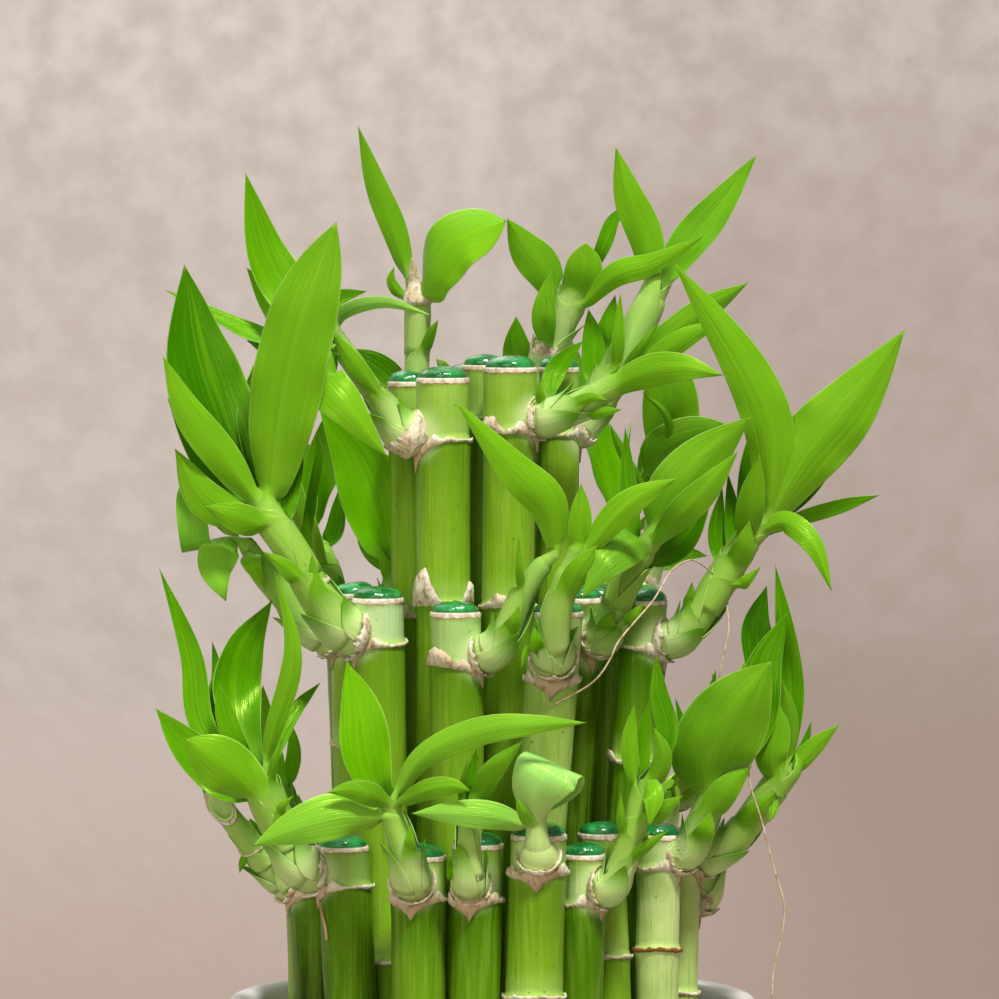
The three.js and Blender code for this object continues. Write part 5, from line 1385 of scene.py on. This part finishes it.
# Painted sheen, from 0 to 1: pale light painted on blades where their gloss shines or where shade would
# dull them.
PAINTED_SHEENS = {("low_cane_5", 0): 0.7, ("low_cane_5", 1): 0.25, ("low_cane_3", 2): 0.12,
          ("middle_cane_5", 1): 0.04, ("top_cane_2", 2): 0.4, ("top_cane_5", 2): 0.05,
          ("low_cane_3", 1): 0.06, ("middle_cane_1", 0): 0.1, ("low_cane_1", 1): 0.3,
          ("middle_cane_1", 4): 0.15}
SIDES = {("low_cane_5", 0): Vector((-0.9, 0.1, 0.42)), ("top_cane_1", 1): Vector((-0.42, 0.5, 0.76)),
         ("middle_cane_1", 0): Vector((1, 0, -0.1)), ("middle_cane_1", 4): Vector((1, 0, 0)),
         ("middle_cane_5", 1): Vector((0.67, 0, -0.74))}
print("leaves that curl or fold:", len(SIDES))


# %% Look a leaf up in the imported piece
SAME_TIP = 0.15


def packed_points(name):
    """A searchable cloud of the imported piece's points, in millimetres."""
    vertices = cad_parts[name].data.vertices
    cloud = KDTree(len(vertices))
    for i, vertex in enumerate(vertices):
        cloud.insert(vertex.co / MM, i)
    cloud.balance()
    return cloud


def bent(points, facing, amount):
    """A leaf's points, bent away from where it faces by an amount at the tip."""
    last = len(points) - 1
    return [p - facing * (amount * i / last) for i, p in enumerate(points)]


def packed_bend(points, facing, cloud):
    """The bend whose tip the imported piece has, or None where it has no such leaf."""
    for amount in BENDS:
        if cloud.find(bent(points, facing, amount)[-1])[2] < SAME_TIP:
            return amount
    return None


print("nearer than", SAME_TIP, "mm, a packed point is a leaf's tip")

# %% Grow the leaves of every shoot
LOOSEST_TUCK = 5


def grow_scales(shape, name, facing):
    """The scales at a shoot's foot: one set for shoots towards the eye, one for those aside."""
    stem = STEMS[name]
    leaving, thick = FEET[name][0], stem.bare(0)
    in_front = around(FEET[name][1]).dot(facing) > 0.8
    turn = stem.angle(leaving, facing) + (0.2 if in_front else 0.7) * (chance.random() - 0.5)
    for share, length, spread, way in FRONT_SCALES if in_front else SIDE_SCALES:
        if leaving + (share + length) * thick < stem.length:
            foot = leaving + share * thick
            grow_scale(shape, name, foot, turn + way, length * thick, spread)


def shape_leaves(row):
    """All leaves of a shoot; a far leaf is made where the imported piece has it."""
    name, facing, _, _, blades = row
    stem, cloud, shape, missing = STEMS[name], packed_points(name), Shape(), 0
    blades = sorted(blades, key=lambda blade: -stem.nearest(blade[2][0]))
    for rank, (width, roll, points, number) in enumerate(blades):
        key = (name, number)
        side = SIDES.get(key)
        amount = 0 if side else packed_bend(points, facing, cloud)
        if amount is None and number is None:
            missing += 1
            continue
        shade = chance.random() if number is None else SHADES[name][number]
        look = (shade, SHOULDERS.get(key, USUAL_SHOULDER), PAINTED_SHEENS.get(key, 0), side,
                WAISTS.get(key))
        blade = (width, roll, bent(points, facing, amount or 0))
        Leaf(name, blade, facing, min(rank, LOOSEST_TUCK), look).build(shape)
    grow_scales(shape, name, facing)
    return shape.finish(f"{name}_leaves", LEAF_SKIN, "leaf", name), missing


leafy_shoots = [shape_leaves(row) for row in ROWS]
print("leafy shoots:", len(leafy_shoots))
print("far leaves with no packed one:", sum(missing for _, missing in leafy_shoots))

# %% [markdown]
# ## Dry paper at the nodes
# Where a shoot breaks out of a cane, the old bud scales dry to a ragged, papery collar with a
# point that hangs down, and a thin torn edge is left along the rest of the ring. On a few canes
# larger rags still stand up from it, and old rings are brown. They could be drawn as a brown
# line, but their shadows and torn points are what the eye notices. So each one is a thin closed
# strip with uneven edges.


# %% The finish of dry paper
def dry_paper_skin():
    skin = Finish("dry_paper", 0.9, Specular_IOR_Level=0.15)
    age = skin.mark("age")
    flecks = skin.noise(1, (900, 900, 500), 4)
    tone = skin.mix(skin.between(skin.noise(300), 0.35, 0.65), "#EFE5CC", "#D8C69E")
    tone = skin.mix(skin.between(age, 0.1, 0.9, 0, 0.8), tone, "#C0A47A")
    tone = skin.mix(skin.between(age, 1, 1.6), tone, "#8A5426")
    skin.colour(skin.mix(skin.between(flecks, 0.5, 0.68, 0, 0.65), tone, "#8A6436"))
    skin.bump(flecks, 0.0006)
    return skin


DRY_PAPER = dry_paper_skin()
print("finish:", DRY_PAPER.material.name)

# %% Tear a strip of paper
PAPER_SIDES = 120


def torn(angle, phase, grain):
    """Uneven noise from 0 to 1 round a torn edge."""
    out = around(angle)
    coarse = noise.noise(out * grain + Vector((0, 0, phase)))
    fine = noise.noise(out * grain * 4 + Vector((0, 0, phase + 9)))
    return min(max(0.5 + 0.6 * coarse + 0.35 * fine, 0), 1)


def strip(shape, place, low, high, age):
    """A closed torn strip from low(angle) to high(angle); place(angle, height, out) is over the skin."""
    rows = [[] for _ in range(6)]
    for i in range(PAPER_SIDES):
        angle = 2 * math.pi * i / PAPER_SIDES
        bottom, top = low(angle), high(angle)
        flare = 0.28 + 0.08 * min(max(0, top), 3)
        middle = (bottom + top) / 2
        section = [(bottom, -0.1), (bottom, 0.16), (middle, 0.36), (top, flare), (top, flare - 0.14),
                   (middle, -0.3)]
        for row, (height, out) in zip(rows, section):
            row.append(shape.add(place(angle, height, out), age=age(angle)))
    shape.skin(rows + rows[:1])


print("points round a strip:", PAPER_SIDES)

# %% Tear the rings: rags by cane and ring, as compass angle, half width and height, and age
FLAPS = {("top_cane_2", 1): [(3.95, 0.75, 9), (5.8, 0.5, 5)],
         ("middle_cane_3", 0): [(4.05, 0.8, 4)], ("top_cane_4", 0): [(4.0, 0.6, 4.5)],
         ("top_cane_4", 1): [(4.6, 1, 2.6)], ("top_cane_1", 1): [(4.3, 0.5, 3)],
         ("middle_cane_6", 1): [(3.6, 0.4, 2)]}
AGED = {("low_cane_8", 1): 1.5, ("middle_cane_3", 0): 0.4}
NO_SHOOT = 9


def turned_away(angle, middle):
    """The angle between two compass angles, whichever way round is shorter."""
    return abs((angle - middle + math.pi) % (2 * math.pi) - math.pi)


def ring_strip(shape, name, index, frame_of_cane):
    top, lean, upper, lower, rings = frame_of_cane
    phase, foot = chance.random() * 60, FEET[name] if index == 0 else None

    def apart(angle):
        return NO_SHOOT if foot is None else turned_away(angle, foot[1])

    def place(angle, height, out):
        z = rings[index] + ring_dip(name, angle, index) + height
        radius = stick_radius(rings[index], rings, upper, lower) - 0.1 + out
        return top + lean * (z - top.z) + around(angle) * radius

    def low(angle):
        return -0.25 - 0.4 * torn(angle, phase, 3) - 2.6 * math.exp(-apart(angle) / 0.17)

    def high(angle):
        ears = 1.6 * hump(apart(angle) - 0.95, 0.2) + 2.2 * hump(apart(angle), 0.6)
        for middle, width, height in FLAPS.get((name, index), []):
            rag = ease(width, 0.15 * width, turned_away(angle, middle))
            ears += height * rag * (0.6 + 0.4 * torn(angle, phase + 40, 2))
        return 0.15 + 0.75 * torn(angle, phase + 20, 4) ** 2 + ears

    def age(angle):
        return max(hump(apart(angle), 0.9), AGED.get((name, index), 0))

    strip(shape, place, low, high, age)


print("rings with rags:", len(FLAPS))

# %% Tear the collars, as least height and what the tearing adds, and rings round a stem
USUAL_COLLAR = (1.5, 2.4)
COLLARS = {"top_cane_2": (5.6, 1.2), "middle_cane_5": (2.4, 3.2), "low_cane_6": (1.4, 3.2),
           "low_cane_9": (2, 2), "top_cane_4": (1.4, 2.2), "low_cane_5": (0.8, 1.2),
           "low_cane_3": (1, 1.4), "low_cane_4": (1, 1.4)}
STEM_RINGS = {"low_cane_1": ((0.6, 0), (0.985, 1.4)), "middle_cane_2": ((0.45, 0),)}
STEM_RING_AGE = 0.2


def collar_strip(shape, name):
    stem, leaving, phase = STEMS[name], FEET[name][0], chance.random() * 60
    least, more = COLLARS.get(name, USUAL_COLLAR)

    def place(angle, height, out):
        mm = max(leaving - 1.2, 0.1) + height
        radius = stem.radius(mm) + 1.2 * out + 0.25 * min(height, 2)
        return stem.at(mm)[0] + stem.outward(mm, angle) * radius

    def high(angle):
        return least + more * torn(angle, phase, 1.6) ** 1.2

    strip(shape, place, lambda angle: 0.0, high, lambda angle: 0.5 * torn(angle, phase + 5, 1.5))


def stem_ring(shape, name, share, slant):
    """A thin torn ring round a stem, at a share of its length."""
    stem, phase = STEMS[name], chance.random() * 60

    def place(angle, height, out):
        mm = stem.length * share + height
        side = stem.outward(mm, angle) * (stem.bare(mm) + out - 0.1)
        return stem.at(mm)[0] + side - stem.at(mm)[1] * (slant * side.dot(TOWARDS_EYE))

    def high(angle):
        return 0.3 + 0.9 * torn(angle, phase, 2.5)

    strip(shape, place, lambda angle: 0.0, high, lambda angle: STEM_RING_AGE)


print("stems with rings:", len(STEM_RINGS))

# %% [markdown]
# ## Dry fibres
# Four dry root fibres hang on the shoots, thin as hairs. A curve with a bevel would draw them and
# turn into a mesh in the end. A smooth line is at hand already, so a six-sided tube along it is
# simpler, and it joins the paper of the cane that carries it.

# %% Draw the fibres
FIBRE_STEPS = 60
FIBRE_SIDES = 6
FINE_FIBRE = (0.19, 0.6)
THICK_FIBRE = (0.34, 1.25)


def thread(shape, points, radius, age):
    """A dry fibre along a line of points."""
    rows = []
    for step in range(FIBRE_STEPS + 1):
        place, way = along(points, step / FIBRE_STEPS)
        side = way.cross(TOWARDS_EYE).normalized()
        turns = [Quaternion(way, 2 * math.pi / FIBRE_SIDES * i) for i in range(FIBRE_SIDES)]
        rows.append([shape.add(place + turn @ side * radius, age=age) for turn in turns])
    shape.skin(rows)
    shape.lid(rows[0], shape.add(points[0], age=age), under=True)
    shape.lid(rows[-1], shape.add(points[-1], age=age))


THREADS = {
    "middle_cane_4": [(12.3, -35, 137), (21.3, -46, 142.3), (25.1, -48, 147.2), (27.2, -48, 151.5),
                      (33.6, -44, 159), (35.7, -42, 162.1), (38.3, -38, 166.4), (42.1, -34, 168.5),
                      (44.9, -30, 167.4), (47, -24, 165.5)],
    "middle_cane_6": [(50, -17.5, 158.9), (50.4, -19, 153.6), (48.9, -20, 146.2), (48.1, -20, 141.9)],
    "low_cane_9": [(54.5, -17, 124.9), (55.3, -19, 119.6), (57.4, -20, 113.2), (60.2, -20, 102.6),
                   (62.3, -20, 95.1), (61.9, -20, 88.7), (60.2, -20, 81.3), (59.8, -20, 75)],
    "low_cane_2": [(-36.8, -27.2, 96), (-36.3, -28.4, 93), (-35.6, -29.3, 90), (-35.3, -29.6, 87.2)],
}
for name, points in THREADS.items():
    print(name, "fibre:", round(line_length([sight(*point) for point in points])), "mm")

# %% Make the paper of every cane
WITHERED_BELOW_TIP = 7
WITHERED_SCALE = {"length": 12, "spread": 0.95, "lift": 1.2, "age": 0.3}


def withered_scale(shape, name):
    """A dry scale under the leaves at a stem's tip, on the side that faces the eye."""
    stem = STEMS[name]
    side = stem.angle(20, TOWARDS_EYE)
    grow_scale(shape, name, stem.length - WITHERED_BELOW_TIP, side, **WITHERED_SCALE)
    # The paper's points all have an age; the scale's other marks would be too few for the mesh.
    shape.marks = {"age": shape.marks["age"]}


def shape_paper(name):
    shape, cane = Shape(), cane_frame(name)
    for index in range(len(cane[4])):
        ring_strip(shape, name, index, cane)
    if name in STEMS:
        collar_strip(shape, name)
    if name in THREADS:
        radius, age = THICK_FIBRE if name == "low_cane_2" else FINE_FIBRE
        thread(shape, [sight(*point) for point in THREADS[name]], radius, age)
    for share, slant in STEM_RINGS.get(name, ()):
        stem_ring(shape, name, share, slant)
    if name == "top_cane_1":
        withered_scale(shape, name)
    return shape.finish(f"{name}_paper", DRY_PAPER, "paper", name)


papers = [shape_paper(name) for name in CANES]
print("papery pieces:", len(papers))

# %% [markdown]
# ## The pot
# The pot is a plain glazed bowl, of which the photograph shows only the rim. A potter turns it on
# a wheel, and so does this cell: one profile, turned about the upright axis, with the lip and the
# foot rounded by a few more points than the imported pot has.

# %% Turn the pot
POT_SIDES = 160
POT_PROFILE = [(0, 0.6), (36, 0.6), (37, 0.0), (40, 0.0), (41, 0.5), (41.6, 1.6), (45.2, 12),
               (49, 23), (51.4, 33), (53.2, 44), (54.5, 55), (55.6, 65), (56.2, 70.5), (56.5, 73.2),
               (56.35, 74.2), (55.8, 74.85), (54.9, 75), (53.9, 74.9), (53.0, 74.3), (52.55, 73.2),
               (52.3, 68), (52, 55), (49, 40), (43.5, 23), (36, 6), (0, 6)]
glaze = Finish("white_glaze", 0.22, Coat_Weight=0.4, Coat_Roughness=0.08)
glaze.colour(glaze.mix(glaze.between(glaze.noise(22), 0.35, 0.7), "#E2E2DC", "#DADAD2"))
glaze.bump(glaze.noise(60, detail=2), 0.0002)


def turned(profile, sides):
    """A closed turned shape; the profile starts and ends on the axis."""
    shape, rows = Shape(), []
    for radius, z in profile[1:-1]:
        rows.append([shape.add(around(2 * math.pi * i / sides) * radius + UP * z) for i in range(sides)])
    shape.skin(rows)
    shape.lid(rows[0], shape.add(UP * profile[0][1]), under=True)
    shape.lid(rows[-1], shape.add(UP * profile[-1][1]))
    return shape


turned(POT_PROFILE, POT_SIDES).finish("glazed_pot", glaze, "ceramic", "pot")
print("pot height in millimetres:", max(z for _, z in POT_PROFILE))

# %% [markdown]
# ## The pebbles
# Pebbles hold the canes upright. Scattering them with physics would settle them for real, but the
# result changes with every version of the solver. A seeded scatter that refuses any spot too near
# a cane or another stone gives a full bed that is the same each time.

# %% Shape one pebble
STONE_SIDES, STONE_RINGS = 12, 7
STONE_DEPTH, STONE_HEIGHT = 0.8, 0.6
STONE_LUMPS = 0.22
stone_skin = Finish("river_pebble", 0.5)
stone_tone = stone_skin.mix(stone_skin.mark("tone"), "#8E8676", "#D9D2C4")
stone_flecks = stone_skin.between(stone_skin.noise(420), 0.5, 0.7, 0, 0.5)
stone_skin.colour(stone_skin.mix(stone_flecks, stone_tone, "#6F685C"))
stone_skin.bump(stone_skin.noise(240), 0.0003)


def add_stone(shape, centre, radius):
    tone, phase, turn = chance.random(), chance.random() * 40, chance.random() * 3
    rows = []
    for ring in range(1, STONE_RINGS):
        lift = math.pi * (ring / STONE_RINGS - 0.5)
        row = []
        for i in range(STONE_SIDES):
            ball = around(2 * math.pi * i / STONE_SIDES) * math.cos(lift) + UP * math.sin(lift)
            lump = 1 + STONE_LUMPS * noise.noise(ball * 1.2 + Vector((phase, 0, 0)))
            flat = Vector((ball.x, ball.y * STONE_DEPTH, ball.z * STONE_HEIGHT))
            flat = Matrix.Rotation(turn, 3, "Z") @ flat
            row.append(shape.add(centre + flat * radius * lump, tone=tone))
        rows.append(row)
    shape.skin(rows)
    shape.lid(rows[0], shape.add(centre - UP * radius * STONE_HEIGHT, tone=tone), under=True)
    shape.lid(rows[-1], shape.add(centre + UP * radius * STONE_HEIGHT, tone=tone))


print("points in one pebble:", STONE_SIDES * (STONE_RINGS - 1) + 2)

# %% Fill the pot with pebbles
BED_PROFILE = [(0, 6.4), (35.6, 6.4), (43.1, 23), (48.6, 40), (51.5, 55), (51.5, 60), (0, 60)]
BED_SIDES = 64
BED_TOP = 63
BED_RADIUS = 51
STONE_TRIES = 5200
SMALLEST_STONE, SIZE_SPREAD = 2.2, 2.6
SINK = 1.2
CANE_CLOSENESS, STONE_CLOSENESS = 0.8, 0.82


def fill_pot():
    shape = turned(BED_PROFILE, BED_SIDES)
    shape.marks["tone"] = [0.0] * len(shape.points)
    feet = []
    for name in CANES:
        top, lean, _, lower, _ = cane_frame(name)
        feet.append((top + lean * (BED_TOP - top.z), lower))
    stones = []
    for _ in range(STONE_TRIES):
        radius = SMALLEST_STONE + SIZE_SPREAD * chance.random()
        reach = (BED_RADIUS - radius) * math.sqrt(chance.random())
        spot = around(chance.random() * 2 * math.pi) * reach
        spot = spot + UP * (BED_TOP - SINK * chance.random())
        if any((spot - foot).xy.length < lower + radius * CANE_CLOSENESS for foot, lower in feet):
            continue
        if any((spot - other).length < STONE_CLOSENESS * (radius + size) for other, size in stones):
            continue
        stones.append((spot, radius))
        add_stone(shape, spot, radius)
    print("pebbles:", len(stones))
    return shape.finish("pebble_bed", stone_skin, "stone", "pebbles")


fill_pot()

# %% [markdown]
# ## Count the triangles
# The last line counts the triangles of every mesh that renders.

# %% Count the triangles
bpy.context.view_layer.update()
meshes = [o.data for o in bpy.data.objects if o.type == "MESH" and not o.hide_render]
print("triangles:", sum(len(face.vertices) - 2 for mesh in meshes for face in mesh.polygons))
